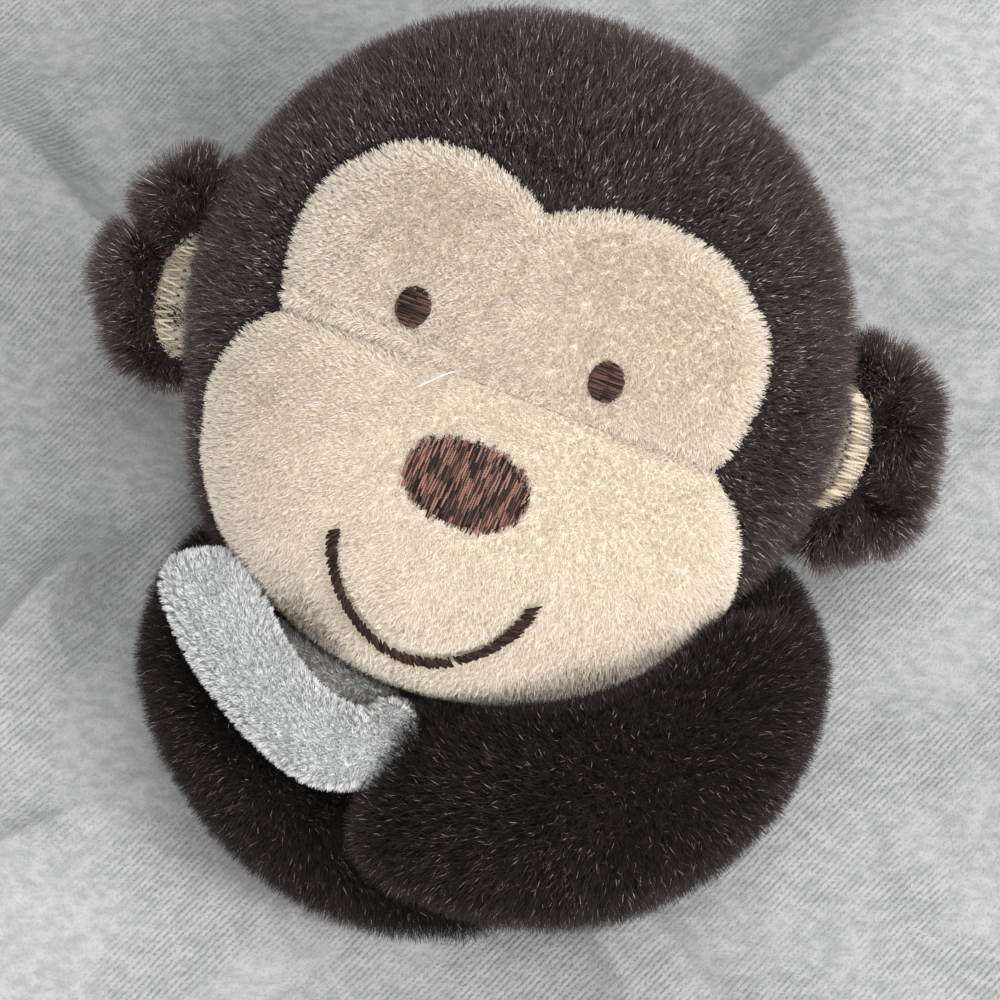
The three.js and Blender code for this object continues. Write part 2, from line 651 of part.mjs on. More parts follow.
// Assembly: one group for each body, standing at its hinge

const toy = new THREE.Group();

// A body's group at its hinge, in its parent's frame, with meshes whose solids are given in that same frame
function bodyAt(name, pivot, solids) {
  const body = new THREE.Group();
  body.name = name;
  body.position.copy(pivot);
  for (const [node, shape, material] of solids) {
    const geometry = geometryOf(shape).translate(-pivot.x, -pivot.y, -pivot.z);
    const mesh = new THREE.Mesh(geometry, material);
    mesh.name = node;
    body.add(mesh);
  }
  return body;
}

toy.add(bodyAt("blanket", new THREE.Vector3(), [
  ["blanket_back", blanketLayer(0), greyVelour()],
  ["blanket_front", blanketLayer(VELOUR + CLEAR), greyVelour()],
]));

function headFinish(node) {
  if (node.endsWith("_fur")) return brownFur();
  if (node.endsWith("_panel")) return tanPlush();
  return node.endsWith("_stuffing") ? fibreFill() : brownThread();
}

// The head's hinge stands on the neck seam, and the turned head stands on the hinge
const headHinge = bodyAt("head", neck, []);
const turnedHead = new THREE.Group();
turnedHead.position.set(HEAD_X, HEAD_Y, HEAD_Z).sub(neck);
turnedHead.quaternion.setFromRotationMatrix(headTurn);
for (const [node, shape] of Object.entries(headSolids()))
  turnedHead.add(...bodyAt("", new THREE.Vector3(), [[node, shape, headFinish(node)]]).children);
const ears = [["right", EAR_TURN, RIGHT_LINING_AT], ["left", EAR_TURN + 180, LEFT_LINING_AT]];
for (const [side, turn, liningAt] of ears) {
  const frame = new THREE.Group();
  const ear = earSolids(turn, liningAt);
  frame.rotation.z = rad(turn);
  frame.add(bodyAt(side + "_ear", earPivot, [
    [side + "_ear_fur", ear.fur, brownFur()],
    [side + "_ear_lining", ear.lining, tanPlush()],
  ]));
  turnedHead.add(frame);
}
headHinge.add(turnedHead);
toy.add(headHinge);

const rightSleeve = sleeveAndFilling(rightArmShape, FUR);
const rightMitten = sleeveAndFilling(rightPawShape, PLUSH);
const rightArm = bodyAt("right_arm", rightShoulder, [
  ["right_arm_fur", rightSleeve.sleeve, brownFur()],
  ["right_arm_stuffing", rightSleeve.filling, fibreFill()],
]);
const rightPaw = bodyAt("right_paw", rightPawPivot, [
  ["right_paw_cover", rightMitten.sleeve, greyPlush()],
  ["right_paw_stuffing", rightMitten.filling, fibreFill()],
]);
rightPaw.position.sub(rightShoulder);
rightArm.add(rightPaw);
toy.add(rightArm);

const leftSleeve = sleeveAndFilling(leftArmShape, FUR);
const leftMitten = sleeveAndFilling(leftPawShape, PLUSH);
toy.add(bodyAt("left_arm", leftShoulder, [
  ["left_arm_fur", leftSleeve.sleeve, brownFur()],
  ["left_arm_stuffing", leftSleeve.filling, fibreFill()],
  ["left_paw_cover", leftMitten.sleeve, greyPlush()],
  ["left_paw_stuffing", leftMitten.filling, fibreFill()],
]));

export default toy;
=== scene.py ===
# A monkey comforter: a fur head and crossed arms, lying face up on a folded velour blanket.
# Sums are in millimetres and meshes in metres. Left and right are as seen facing the toy.
import math

import bmesh
import bpy
import numpy as np
from mathutils import Matrix, Vector


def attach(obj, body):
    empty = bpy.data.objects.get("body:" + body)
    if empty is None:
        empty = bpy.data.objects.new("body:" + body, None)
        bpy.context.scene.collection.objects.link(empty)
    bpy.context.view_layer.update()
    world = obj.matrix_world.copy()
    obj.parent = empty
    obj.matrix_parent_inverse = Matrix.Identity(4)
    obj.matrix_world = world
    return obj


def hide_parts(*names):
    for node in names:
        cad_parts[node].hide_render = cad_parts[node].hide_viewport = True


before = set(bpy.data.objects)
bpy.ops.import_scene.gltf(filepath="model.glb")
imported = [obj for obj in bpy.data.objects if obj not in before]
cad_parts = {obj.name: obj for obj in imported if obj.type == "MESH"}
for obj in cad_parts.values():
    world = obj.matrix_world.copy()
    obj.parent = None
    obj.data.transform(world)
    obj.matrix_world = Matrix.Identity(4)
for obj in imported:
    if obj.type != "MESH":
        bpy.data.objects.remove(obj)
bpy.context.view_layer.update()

MM = 0.001
STRAND_MAP = "OFBake"
scene = bpy.context.scene

# Sizes of the sewn parts, from the part's source
# The eyes, the nose, the brow's dip and the ledges follow the photograph more closely than the source does
TABLE = 3.7
BLANKET_SIDE = 340
BLANKET_CORNER = 24
BLANKET_FLAT_RADIUS = 60.2
VELOUR = 1.5
LAYER_GAP = 0.35
FOLD_RUN = 42
# Each fold: its direction, half its spread in degrees, and its height
FOLDS = [
    (9, 12, 4),
    (54, 14, 3),
    (88, 13, 5),
    (120, 13, 4),
    (146, 12, 3),
    (184, 13, 5),
    (216, 12, 2),
    (252, 11, 3),
    (281, 10, 1.5),
    (299, 10, 1.5),
    (333, 13, 5),
]
# Each ledge: its line, steep on the right, its height, where it starts to rise, and its gentle side's width
LEDGES = [
    ((112, 118), (38, 68.5), 8, 66, 24),
    ((-49, 8.5), (-150, -79), 9, 64, 20),
    ((-46, 12), (-67, -6.5), 3.6, 60, 9),
    ((-56, -35), (-150, -95), 5, 82, 24),
    ((-52, -32.5), (-90, -56.5), 1.8, 64, 12),
    ((-63.4, 55), (-150, 91), 8, 66, 24),
    ((-30, 77), (-160, 76), 4, 74, 24),
    ((13.2, -63.7), (64, -150), 4, 64, 24),
    ((110, -132), (24, -63.2), 4, 64, 24),
]
LEDGE_STEEP = 2.4
LEDGE_SLACK = 9
LEDGE_SLACK_FROM = 62
LEDGE_SLACK_TO = 94
LEDGE_EARLY = 8
LEDGE_RUN = 14
HEAD_HALF = np.array([49.5, 50.5, 31.0])
HEAD_TILT = 14
HEAD_ROLL = -20.9
HEAD_YAW = -1.5
HEAD_PLACE = (2.6, 22.9)
HEAD_PRESSED = 1.2
MUZZLE_HALF = np.array([42.3, 30.6, 29.0])
MUZZLE_AT = np.array([0.0, -22.5, 5.5])
MUZZLE_EASE = 4.0
MUZZLE_ASIDE = 1.1
RIM_SHARE = 0.985
SEAM_DROP = 6.2
NOTCH_X = 34
BROW_SIDE = 37.5
BROW_CORNER = (30.0, 18.9)
BROW_TOP = 26.4
BROW_DIP = (-2.4, 19.2)
CHEEK = (41.95, -20.0)
CHIN = -53.1
EYES_AT = ((-15.6, 0.5), (14.2, 0.3))
EYE_HALF = (2.55, 2.95)
NOSE_AT = (0.7, -20.4)
NOSE_HALF = (9.2, 6.0)
SMILE_AT = (0.7, -31.0)
SMILE_RADIUS = 15.3
SMILE_WIDTH = 1.8
SMILE_SWEEP = 164
EAR_TURN = 5.5
EAR_AT = 51.7
EAR_HALF = np.array([13.5, 18.25, 6.5])
HUG_CENTRE = np.array([-3.7, -13.0])

# How the fabrics lie against those sizes
FUR_SINK = 1.3
FUR_SINK_AT_FACE = 0.9
PANEL_SINK = 0.3
FUR_BACKING = 1.1
PANEL_BACKING = 0.9
# The back of the head is about this round, which makes lengths of angles there
BACK_RADIUS = 40
# Each pile's hairs: their sizes, how far they lean, and how they gather in tufts and stray
FACE_NAP = {"length": 1.05, "width": 0.13, "lean": 0.5, "tuft": 1.0, "gathering": 0.7, "stray": 0.35}
HEAD_FUR = {"length": 4.2, "width": 0.12, "lean": 0.45, "tuft": 2.4, "gathering": 0.5, "stray": 0.45}
EAR_FUR = {"length": 4.8, "width": 0.13, "lean": 0.5, "tuft": 4.6, "gathering": 0.6, "stray": 0.4}
LINING_NAP = {"length": 0.9, "width": 0.15, "lean": 0.6, "tuft": 0.9, "gathering": 0.5, "stray": 0.35}
ARM_FUR = {"length": 3.6, "width": 0.12, "lean": 0.2, "tuft": 1.7, "gathering": 0.7, "stray": 0.5}
RIGHT_PAW_NAP = {"length": 1.15, "width": 0.14, "lean": 0.5, "tuft": 1.25, "gathering": 0.9, "stray": 0.4}
LEFT_PAW_NAP = {"length": 1.3, "width": 0.24, "lean": 0.75, "tuft": 1.0, "gathering": 0.5, "stray": 0.4}
# How many hairs each pile has where nothing keeps them off
BROW_HAIRS = 80000
MUZZLE_HAIRS = 97000
HEAD_FRONT_HAIRS = 95000
HEAD_BACK_HAIRS = 55000
EAR_HAIRS = 60000
LINING_HAIRS = 4000
ARM_HAIRS = 98000
RIGHT_PAW_HAIRS = 60000
LEFT_PAW_HAIRS = 9000
# The soiled patch on the muzzle beside the paw, partly soil and partly painted shade: its strength, depth,
# direction from the cheeks' middle, and spread
SOIL_AND_SHADE = 0.6
SOIL_AND_SHADE_DEEP = 10.0
SOIL_AND_SHADE_AT = 243
SOIL_AND_SHADE_SPREAD = 19
# Embroidery: how far a shape stands up, how its rows are spaced and how thick its thread is
NOSE_RISE = 0.7
NOSE_ROW = 0.33
NOSE_STITCH = 2.3
NOSE_CURVE = 2.3
NOSE_THICK = 0.31
EYE_RISE = 0.6
EYE_ROW = 0.36
EYE_ROUND = 19
EYE_FILL_LIFT = 0.75
EYE_ROUND_LIFT = 0.6
EYE_THICK = 0.38
SMILE_ROW = 0.34
SMILE_GAP_AT = 28
SMILE_GAP_HALF = 1.3
SMILE_LIFT = 1.15
SMILE_THICK = 0.46
LOOSE_THICK = 0.22


# Small sums


def smooth(x, low, high):
    t = np.clip((x - low) / (high - low), 0, 1)
    return t * t * (3 - 2 * t)


def unit(v):
    return v / np.maximum(np.linalg.norm(v, axis=-1, keepdims=True), 1e-12)


def bump(distance, width):
    return np.exp(-((distance / width) ** 2))


def ripple(points, size, seed):
    """Soft random waves of about that size, between roughly -1 and 1."""
    rng = np.random.default_rng(seed)
    total = np.zeros(points.shape[:-1])
    for _ in range(9):
        way = unit(rng.normal(size=points.shape[-1]))
        pace = 2 * math.pi / size * rng.uniform(0.7, 1.4)
        total += np.sin(points @ way * pace + rng.uniform(0, 2 * math.pi))
    return total / 3.0


def round_angles(count):
    return np.linspace(0, 2 * math.pi, count, endpoint=False)


def waves(points, size, seed, count=3):
    """Ripples side by side, as a random direction at each point."""
    return np.stack([ripple(points, size, seed + i) for i in range(count)], -1)


def laid_on(ways, ups):
    """What is left of directions when they are laid flat on a surface."""
    return ways - ups * (ways * ups).sum(-1, keepdims=True)


def colour(code):
    """A linear colour from a six-digit code."""
    parts = [int(code[i : i + 2], 16) / 255 for i in (0, 2, 4)]
    linear = [c / 12.92 if c < 0.04045 else ((c + 0.055) / 1.055) ** 2.4 for c in parts]
    return (*linear, 1.0)


# Node trees


class Wire:
    """A node's output, with the operators used on plain values."""

    def __init__(self, net, socket):
        self.net = net
        self.socket = socket

    def __add__(self, other):
        return self.net.maths("ADD", self, other)

    __radd__ = __add__

    def __sub__(self, other):
        return self.net.maths("SUBTRACT", self, other)

    def __rsub__(self, other):
        return self.net.maths("SUBTRACT", other, self)

    def __mul__(self, other):
        return self.net.maths("MULTIPLY", self, other)

    __rmul__ = __mul__

    def __truediv__(self, other):
        return self.net.maths("DIVIDE", self, other)

    def __rtruediv__(self, other):
        return self.net.maths("DIVIDE", other, self)


class Net:
    """A node tree, and the one method that adds nodes to it."""

    def __init__(self, tree):
        self.tree = tree

    def add(self, kind, settings=None, sockets=None, out=0):
        node = self.tree.nodes.new(kind)
        for name, value in (settings or {}).items():
            setattr(node, name, value)
        for key, value in (sockets or {}).items():
            if isinstance(value, Wire):
                self.tree.links.new(value.socket, node.inputs[key])
            else:
                node.inputs[key].default_value = value
        if isinstance(out, tuple):
            return tuple(Wire(self, node.outputs[o]) for o in out)
        return Wire(self, node.outputs[out]) if len(node.outputs) else None

    def maths(self, operation, a, b=0.0):
        return self.add("ShaderNodeMath", {"operation": operation}, {0: a, 1: b})

    def vector(self, operation, a, b=(0, 0, 0)):
        return self.add("ShaderNodeVectorMath", {"operation": operation}, {0: a, 1: b})

    def scaled(self, vector, by):
        return self.add("ShaderNodeVectorMath", {"operation": "SCALE"}, {0: vector, "Scale": by})

    def ranged(self, value, low, high, to_low=0.0, to_high=1.0):
        sockets = {0: value, 1: low, 2: high, 3: to_low, 4: to_high}
        return self.add("ShaderNodeMapRange", {"interpolation_type": "SMOOTHSTEP"}, sockets)

    def mixed(self, share, a, b):
        settings = {"data_type": "RGBA", "blend_type": "MIX"}
        return self.add("ShaderNodeMix", settings, {0: share, 6: a, 7: b}, out=2)

    def object_place(self):
        return self.add("ShaderNodeTexCoord", out="Object")

    def noise(self, place, grain, detail):
        """Noise with a grain of a size in millimetres."""
        sockets = {"Vector": place, "Scale": 1 / (grain * MM), "Detail": detail}
        return self.add("ShaderNodeTexNoise", {}, sockets)

    def strand_place(self):
        """A strand's tone and the share of its length, from its own map."""
        mapped = self.add("ShaderNodeUVMap", {"uv_map": STRAND_MAP})
        return self.add("ShaderNodeSeparateXYZ", {}, {0: mapped}, out=("X", "Y"))


def new_finish(name, paint, roughness, **constants):
    """A Principled material. paint(net) gives its colour, and may give roughness and a bump height too."""
    material = bpy.data.materials.new(name)
    material.use_nodes = True
    tree = material.node_tree
    tree.nodes.clear()
    net = Net(tree)
    given = paint(net)
    sockets = {"Base Color": given["colour"], "Roughness": given.get("roughness", roughness)}
    for key, value in constants.items():
        sockets[key.replace("_", " ").title().replace("Ior", "IOR")] = value
    if "height" in given:
        settings = {"Height": given["height"], "Strength": given["strength"], "Distance": given["depth"] * MM}
        sockets["Normal"] = net.add("ShaderNodeBump", {}, settings)
    shader = net.add("ShaderNodeBsdfPrincipled", {}, sockets)
    net.add("ShaderNodeOutputMaterial", {}, {"Surface": shader})
    return material


# Finishes


def strand_finish(name, shades, glints, roughness, **constants):
    """Colour by a strand's own map: across it the tone, along it from root to tip. Some strands get a painted
    glint, and high tones turn to soil with painted shade.
    """
    root, tip, light, soiled_and_shaded = (colour(shades[part]) for part in ("root", "tip", "light", "soiled_and_shaded"))

    def paint(net):
        tone, along = net.strand_place()
        lit = net.mixed(net.ranged(along, 0.05, 0.95), root, tip)
        # Painted highlight: strands of high tone get the pale "light" shade partway along, as a painted
        # glint.
        painted_glint = net.ranged(tone, glints - 0.01, glints) * net.ranged(along, 0.45, 0.6)
        lit = net.mixed(painted_glint * (1 - net.ranged(along, 0.75, 0.9)), lit, light)
        # High tones, raised by a skin's tint, turn to the soiled shade: soil together with painted shade.
        return {"colour": net.mixed(net.ranged(tone, 0.5, 0.95), lit, soiled_and_shaded)}

    return new_finish(name, paint, roughness, **constants)


def backing_finish(name, low, high, grain):
    """Fabric under a pile: a soft grain of two shades."""

    def paint(net):
        speck = net.noise(net.object_place(), grain, 3)
        shade = net.mixed(net.ranged(speck, 0.3, 0.7), colour(low), colour(high))
        return {"colour": shade, "height": speck, "strength": 0.6, "depth": 0.3}

    return new_finish(name, paint, 0.95)


def thread_finish(name, dark, pale, roughness):
    """Twisted thread: plies cross its length, and its shade changes from stitch to stitch."""

    def paint(net):
        tone, along = net.strand_place()
        ply = net.maths("SINE", along * 38.0 + tone * 160.0) * 0.5 + 0.5
        shade = net.mixed(net.ranged(tone, 0.1, 0.9), colour(dark), colour(pale))
        return {"colour": net.mixed(ply * 0.35, shade, colour(dark))}

    return new_finish(name, paint, roughness, specular_ior_level=0.25)


def velour_paint(net):
    """Grey heathered velour: slanting rows of small tufts with pale and dark flecks, and painted shade
    darkening the gaps between tufts and the grooves along the rows.
    """
    place = net.object_place()
    east, north = net.add("ShaderNodeSeparateXYZ", {}, {0: place}, out=("X", "Y"))
    drawn = net.add("ShaderNodeMapping", {}, {0: place, "Rotation": (0, 0, 0.5), "Scale": (0.6, 1.0, 1.0)})
    tuft = net.noise(place, 0.42, 2)
    fleck = net.noise(drawn, 1.6, 5)
    groove_shade_patches = net.ranged(net.noise(place, 20, 2), 0.36, 0.62)
    stray = net.noise(place, 18, 1)
    wale = net.maths("SINE", (east - north) * (SLANT_TURN / (WALE_PITCH * MM)) + stray * 8.0) * 0.5 + 0.5
    line = net.ranged(wale, 0.3, 0.95) * groove_shade_patches * net.ranged(tuft, 0.7, 0.4)
    gap = net.ranged(tuft, 0.5, 0.32)
    shade = net.mixed(net.ranged(fleck, 0.3, 0.7), colour("969798"), colour("a9aaaa"))
    # Painted shade: the gaps between tufts and, in random patches, the grooves along the rows are darkened in
    # colour as well as lowered.
    shade = net.mixed(gap * 0.2, shade, colour("727477"))
    shade = net.mixed(line * 0.55, shade, colour("64666a"))
    return {"colour": shade, "height": 1 - gap * 0.5 - line, "strength": 0.4, "depth": 0.3}


def fibre_paint(net):
    tangle = net.noise(net.object_place(), 2.5, 6)
    shade = net.mixed(net.ranged(tangle, 0.3, 0.7), colour("dcd9d0"), colour("f6f4ee"))
    return {"colour": shade, "height": tangle, "strength": 0.8, "depth": 0.8}


def pad_paint(net):
    fill = net.noise(net.object_place(), 0.5, 2)
    shade = net.mixed(fill, colour("1d0f0c"), colour("33201b"))
    return {"colour": shade, "height": fill, "strength": 0.5, "depth": 0.2}


def loose_thread_paint(net):
    twist = net.noise(net.object_place(), 0.3, 2)
    return {"colour": net.mixed(twist, colour("e9e3d6"), colour("fbf8f1"))}


def floor_paint(net):
    grain = net.noise(net.object_place(), 25, 3)
    return {"colour": net.mixed(grain, colour("d8d8d6"), colour("e4e4e2"))}


# Rows of velour lie this far apart, across a slant: a full turn over the square root of two
WALE_PITCH = 0.9
SLANT_TURN = 4.44
# In each set of shades, "light" is the colour of the painted glints, and the soiled shade is soil together
# with painted shade.
FUR_SHADES = {"root": "231a19", "tip": "544745", "light": "e9dfd8", "soiled_and_shaded": "9a8478"}
# The shaded set and SHADED_HAIR are a darker copy of the head's fur, the same fabric: painted shade, for the
# arms' pile and the ears' wisps.
SHADED_FUR_SHADES = {"root": "100a09", "tip": "281e1e", "light": "b7a89e", "soiled_and_shaded": "9a8478"}
TAN_SHADES = {"root": "e0d4c3", "tip": "efe6d9", "light": "f1e9dd", "soiled_and_shaded": "776754"}
GREY_SHADES = {"root": "b2b4b5", "tip": "e3e4e4", "light": "f3f3f3", "soiled_and_shaded": "7d7268"}
FUR_HAIR = strand_finish("brown_fur_hair", FUR_SHADES, 0.445, 0.6)
SHADED_HAIR = strand_finish("brown_fur_shaded_hair", SHADED_FUR_SHADES, 0.455, 0.7)
TAN_NAP = strand_finish("tan_nap", TAN_SHADES, 0.3, 0.85, sheen_weight=0.2)
GREY_NAP = strand_finish("grey_nap", GREY_SHADES, 0.3, 0.85, sheen_weight=0.2)
FUR_BACK = backing_finish("brown_fur_backing", "120b09", "261a17", 1.2)
TAN_BACK = backing_finish("tan_plush_backing", "cfc1ad", "e4dacb", 0.5)
GREY_BACK = backing_finish("grey_plush_backing", "9da1a2", "c6cacb", 0.6)
VELOUR_CLOTH = new_finish("grey_velour", velour_paint, 0.9, sheen_weight=0.25, sheen_roughness=0.5)
BROWN_THREAD = thread_finish("brown_thread", "140806", "987062", 0.6)
EYE_THREAD = thread_finish("eye_thread", "140907", "5e453b", 0.6)
DARK_THREAD = thread_finish("dark_brown_thread", "120806", "402a23", 0.7)
CREAM_THREAD = thread_finish("cream_thread", "9c8d77", "ded2be", 0.6)
BROWN_PAD = new_finish("brown_thread_pad", pad_paint, 0.6)
PALE_THREAD = new_finish("pale_thread", loose_thread_paint, 0.4)
FIBRE = new_finish("fibre_fill", fibre_paint, 1.0)
FLOOR = new_finish("pale_floor", floor_paint, 0.9)


# Objects and meshes


def linked(name, data):
    thing = bpy.data.objects.new(name, data)
    scene.collection.objects.link(thing)
    return thing


def mesh_of(name, points, faces, material):
    mesh = bpy.data.meshes.new(name)
    mesh.from_pydata((np.asarray(points, float) * MM).tolist(), [], faces)
    mesh.materials.append(material)
    mesh.shade_smooth()
    return linked(name, mesh)


def places(thing):
    spots = np.zeros(len(thing.data.vertices) * 3, np.float32)
    thing.data.vertices.foreach_get("co", spots)
    return spots.reshape(-1, 3).astype(float) / MM


def place(thing, points):
    thing.data.vertices.foreach_set("co", (points * MM).astype(np.float32).ravel())
    thing.data.update()


def outward(thing):
    ways = np.zeros(len(thing.data.vertices) * 3, np.float32)
    thing.data.vertex_normals.foreach_get("vector", ways)
    return ways.reshape(-1, 3).astype(float)


def mark(thing, name, values):
    """A value or a direction at each point, for the pile that grows there."""
    values = np.asarray(values, np.float32)
    kind = "FLOAT_VECTOR" if values.ndim == 2 else "FLOAT"
    kept = thing.data.attributes.new(name, kind, "POINT")
    kept.data.foreach_set("vector" if values.ndim == 2 else "value", values.ravel())


def made_plain(thing):
    """The mesh that the object's modifiers give."""
    depsgraph = bpy.context.evaluated_depsgraph_get()
    return bpy.data.meshes.new_from_object(thing.evaluated_get(depsgraph))


def discard(thing):
    mesh = thing.data
    bpy.data.objects.remove(thing)
    bpy.data.meshes.remove(mesh)


def set_outwards(thing):
    """Turns the faces of a closed mesh outwards."""
    shell = bmesh.new()
    shell.from_mesh(thing.data)
    bmesh.ops.recalc_face_normals(shell, faces=shell.faces)
    shell.to_mesh(thing.data)
    shell.free()


def set_along(thing, way):
    """Turns an open sheet's faces so that they look along a direction."""
    looks = sum((face.normal * face.area for face in thing.data.polygons), Vector())
    if looks.dot(Vector(way)) < 0:
        thing.data.flip_normals()


def grid_faces(rings, around, closed=True, hub=True):
    """Quads between rings of points, with a hub point first where there is one."""
    start = 1 if hub else 0
    last = around if closed else around - 1
    faces = []
    for k in range(last):
        following = (k + 1) % around
        if hub:
            faces.append((0, start + k, start + following))
        for i in range(rings - 1):
            a = start + i * around
            faces.append((a + k, a + around + k, a + around + following, a + following))
    return faces


def capped_faces(rings, around):
    """Faces of rings that close on one point at each end."""
    end = 1 + rings * around
    last = end - around
    return grid_faces(rings, around) + [(end, last + (k + 1) % around, last + k) for k in range(around)]


def unit_ball(around, rows):
    """Points of a ball, ring by ring from pole to pole."""
    polar = np.linspace(0, math.pi, rows + 2)[1:-1, None]
    angles = round_angles(around)
    rings = [np.sin(polar) * np.cos(angles), np.sin(polar) * np.sin(angles), np.cos(polar) * np.ones(around)]
    return np.vstack([[(0, 0, 1)], np.stack(rings, -1).reshape(-1, 3), [(0, 0, -1)]])


def belongs(thing, body, slot, *nodes):
    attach(thing, body)
    if nodes:
        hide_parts(*nodes)


def dress(skin, fur, body, slot, node):
    """The pile and the skin that it grows on go with one body."""
    belongs(fur, body, slot)
    belongs(skin, body, slot, node)


def thickened(thing, by):
    wall = thing.modifiers.new("wall", "SOLIDIFY")
    wall.thickness = by * MM
    wall.offset = -1
    return thing


def set_inputs(modifier, tree, values):
    for item in tree.interface.items_tree:
        if item.item_type == "SOCKET" and item.in_out == "INPUT" and item.name in values:
            modifier[item.identifier] = values[item.name]


def new_tree(name, inputs):
    tree = bpy.data.node_groups.new(name, "GeometryNodeTree")
    for title, kind in inputs.items():
        tree.interface.new_socket(title, in_out="INPUT", socket_type="NodeSocket" + kind)
    tree.interface.new_socket("Made", in_out="OUTPUT", socket_type="NodeSocketGeometry")
    net = Net(tree)
    return net, net.add("NodeGroupInput", out=tuple(inputs))


def attribute(net, name, kind="FLOAT"):
    return net.add("GeometryNodeInputNamedAttribute", {"data_type": kind}, {"Name": name})


def random_value(net, low, high, seed):
    return net.add("FunctionNodeRandomValue", {"data_type": "FLOAT"}, {2: low, 3: high, "Seed": seed}, out=1)


def stored(net, shape, name, value, kind="FLOAT", domain="POINT"):
    sockets = {"Geometry": shape, "Name": name, "Value": value}
    return net.add("GeometryNodeStoreNamedAttribute", {"data_type": kind, "domain": domain}, sockets)


def planted(net, points, thing, rotation, size, finish):
    """Puts a strand at each point, maps its tone across and its length along, and ends the tree."""
    shape = net.add("GeometryNodeObjectInfo", {}, {"Object": thing}, out="Geometry")
    sockets = {"Points": points, "Instance": shape, "Rotation": rotation, "Scale": size}
    copies = net.add("GeometryNodeInstanceOnPoints", {}, sockets)
    whole = net.add("GeometryNodeRealizeInstances", {}, {"Geometry": copies})
    across = attribute(net, "tone") + attribute(net, "across") * 0.02
    spot = net.add("ShaderNodeCombineXYZ", {}, {0: across, 1: attribute(net, "along")})
    mapped = stored(net, whole, STRAND_MAP, spot, "FLOAT2", "CORNER")
    done = net.add("GeometryNodeSetMaterial", {}, {"Geometry": mapped, "Material": finish})
    net.add("NodeGroupOutput", {}, {0: done})


PILE_INPUTS = {
    "Surface": "Geometry",
    "Hair": "Object",
    "Finish": "Material",
    "Density": "Float",
    "Length": "Float",
    "Width": "Float",
    "Lean": "Float",
    "Tuft size": "Float",
    "Gathering": "Float",
    "Stray": "Float",
    "Seed": "Int",
}
STITCH_INPUTS = {
    "Places": "Geometry",
    "Stitch": "Object",
    "Finish": "Material",
    "Thickness": "Float",
    "Seed": "Int",
}


def pile_tree():
    """Hairs all over a surface, leaning with its comb, drawn together in tufts."""
    net, given = new_tree("pile", PILE_INPUTS)
    surface, hair, finish, density, length, width, lean, tuft, gathering, stray, seed = given
    points, up = net.add(
        "GeometryNodeDistributePointsOnFaces",
        {"distribute_method": "RANDOM"},
        {"Mesh": surface, "Density": density * attribute(net, "cover"), "Seed": seed},
        out=("Points", "Normal"),
    )
    here = net.add("GeometryNodeInputPosition")
    cells = {"Vector": here, "Scale": 1 / tuft}
    middle = net.add("ShaderNodeTexVoronoi", {"feature": "F1"}, cells, out="Position")
    drawn = net.scaled(net.vector("SUBTRACT", middle, here), gathering / length)
    combed = net.scaled(attribute(net, "comb", "FLOAT_VECTOR"), lean)
    anyhow = {0: (-1, -1, -1), 1: (1, 1, 1), "Seed": 7}
    loose = net.add("FunctionNodeRandomValue", {"data_type": "FLOAT_VECTOR"}, anyhow)
    way = net.vector("ADD", net.vector("ADD", up, combed), net.vector("ADD", drawn, net.scaled(loose, stray)))
    stood = net.add("FunctionNodeAlignRotationToVector", {"axis": "Z"}, {"Vector": way})
    spun = {"Axis": (0, 0, 1), "Angle": random_value(net, 0, 6.283, 11)}
    turns = {"Rotation": stood, "Rotate By": net.add("FunctionNodeAxisAngleToRotation", {}, spun)}
    turned = net.add("FunctionNodeRotateRotation", {"rotation_space": "LOCAL"}, turns)
    tone = net.maths("MINIMUM", attribute(net, "tint") + random_value(net, 0.03, 0.47, 5), 0.96)
    long = length * attribute(net, "reach") * random_value(net, 0.7, 1.15, 3)
    size = net.add("ShaderNodeCombineXYZ", {}, {0: width, 1: long, 2: long})
    planted(net, stored(net, points, "tone", tone), hair, turned, size, finish)
    return net.tree


def stitch_tree():
    """One stitch at each point, laid along its way and facing up from the fabric."""
    net, given = new_tree("stitches", STITCH_INPUTS)
    spots, stitch, finish, thickness, seed = given
    axes = {0: attribute(net, "way", "FLOAT_VECTOR"), 1: attribute(net, "up", "FLOAT_VECTOR")}
    laid = net.add("FunctionNodeAxesToRotation", {"primary_axis": "X", "secondary_axis": "Z"}, axes)
    thick = thickness * random_value(net, 0.85, 1.15, seed)
    size = net.add("ShaderNodeCombineXYZ", {}, {0: attribute(net, "span"), 1: thick, 2: thick})
    toned = stored(net, spots, "tone", random_value(net, 0.05, 0.9, seed))
    planted(net, toned, stitch, laid, size, finish)
    return net.tree


def hair_shape():
    """One hair of unit size: a narrow leaning ribbon that tapers to its tip."""
    points = [(-0.5, 0, 0), (0.5, 0, 0), (0.16, 0.16, 1), (-0.16, 0.16, 1)]
    mesh = bpy.data.meshes.new("hair_shape")
    mesh.from_pydata(points, [], [(0, 1, 2, 3)])
    shape = linked("hair_shape", mesh)
    mark(shape, "along", [p[2] for p in points])
    mark(shape, "across", [2 * p[0] for p in points])
    return shape


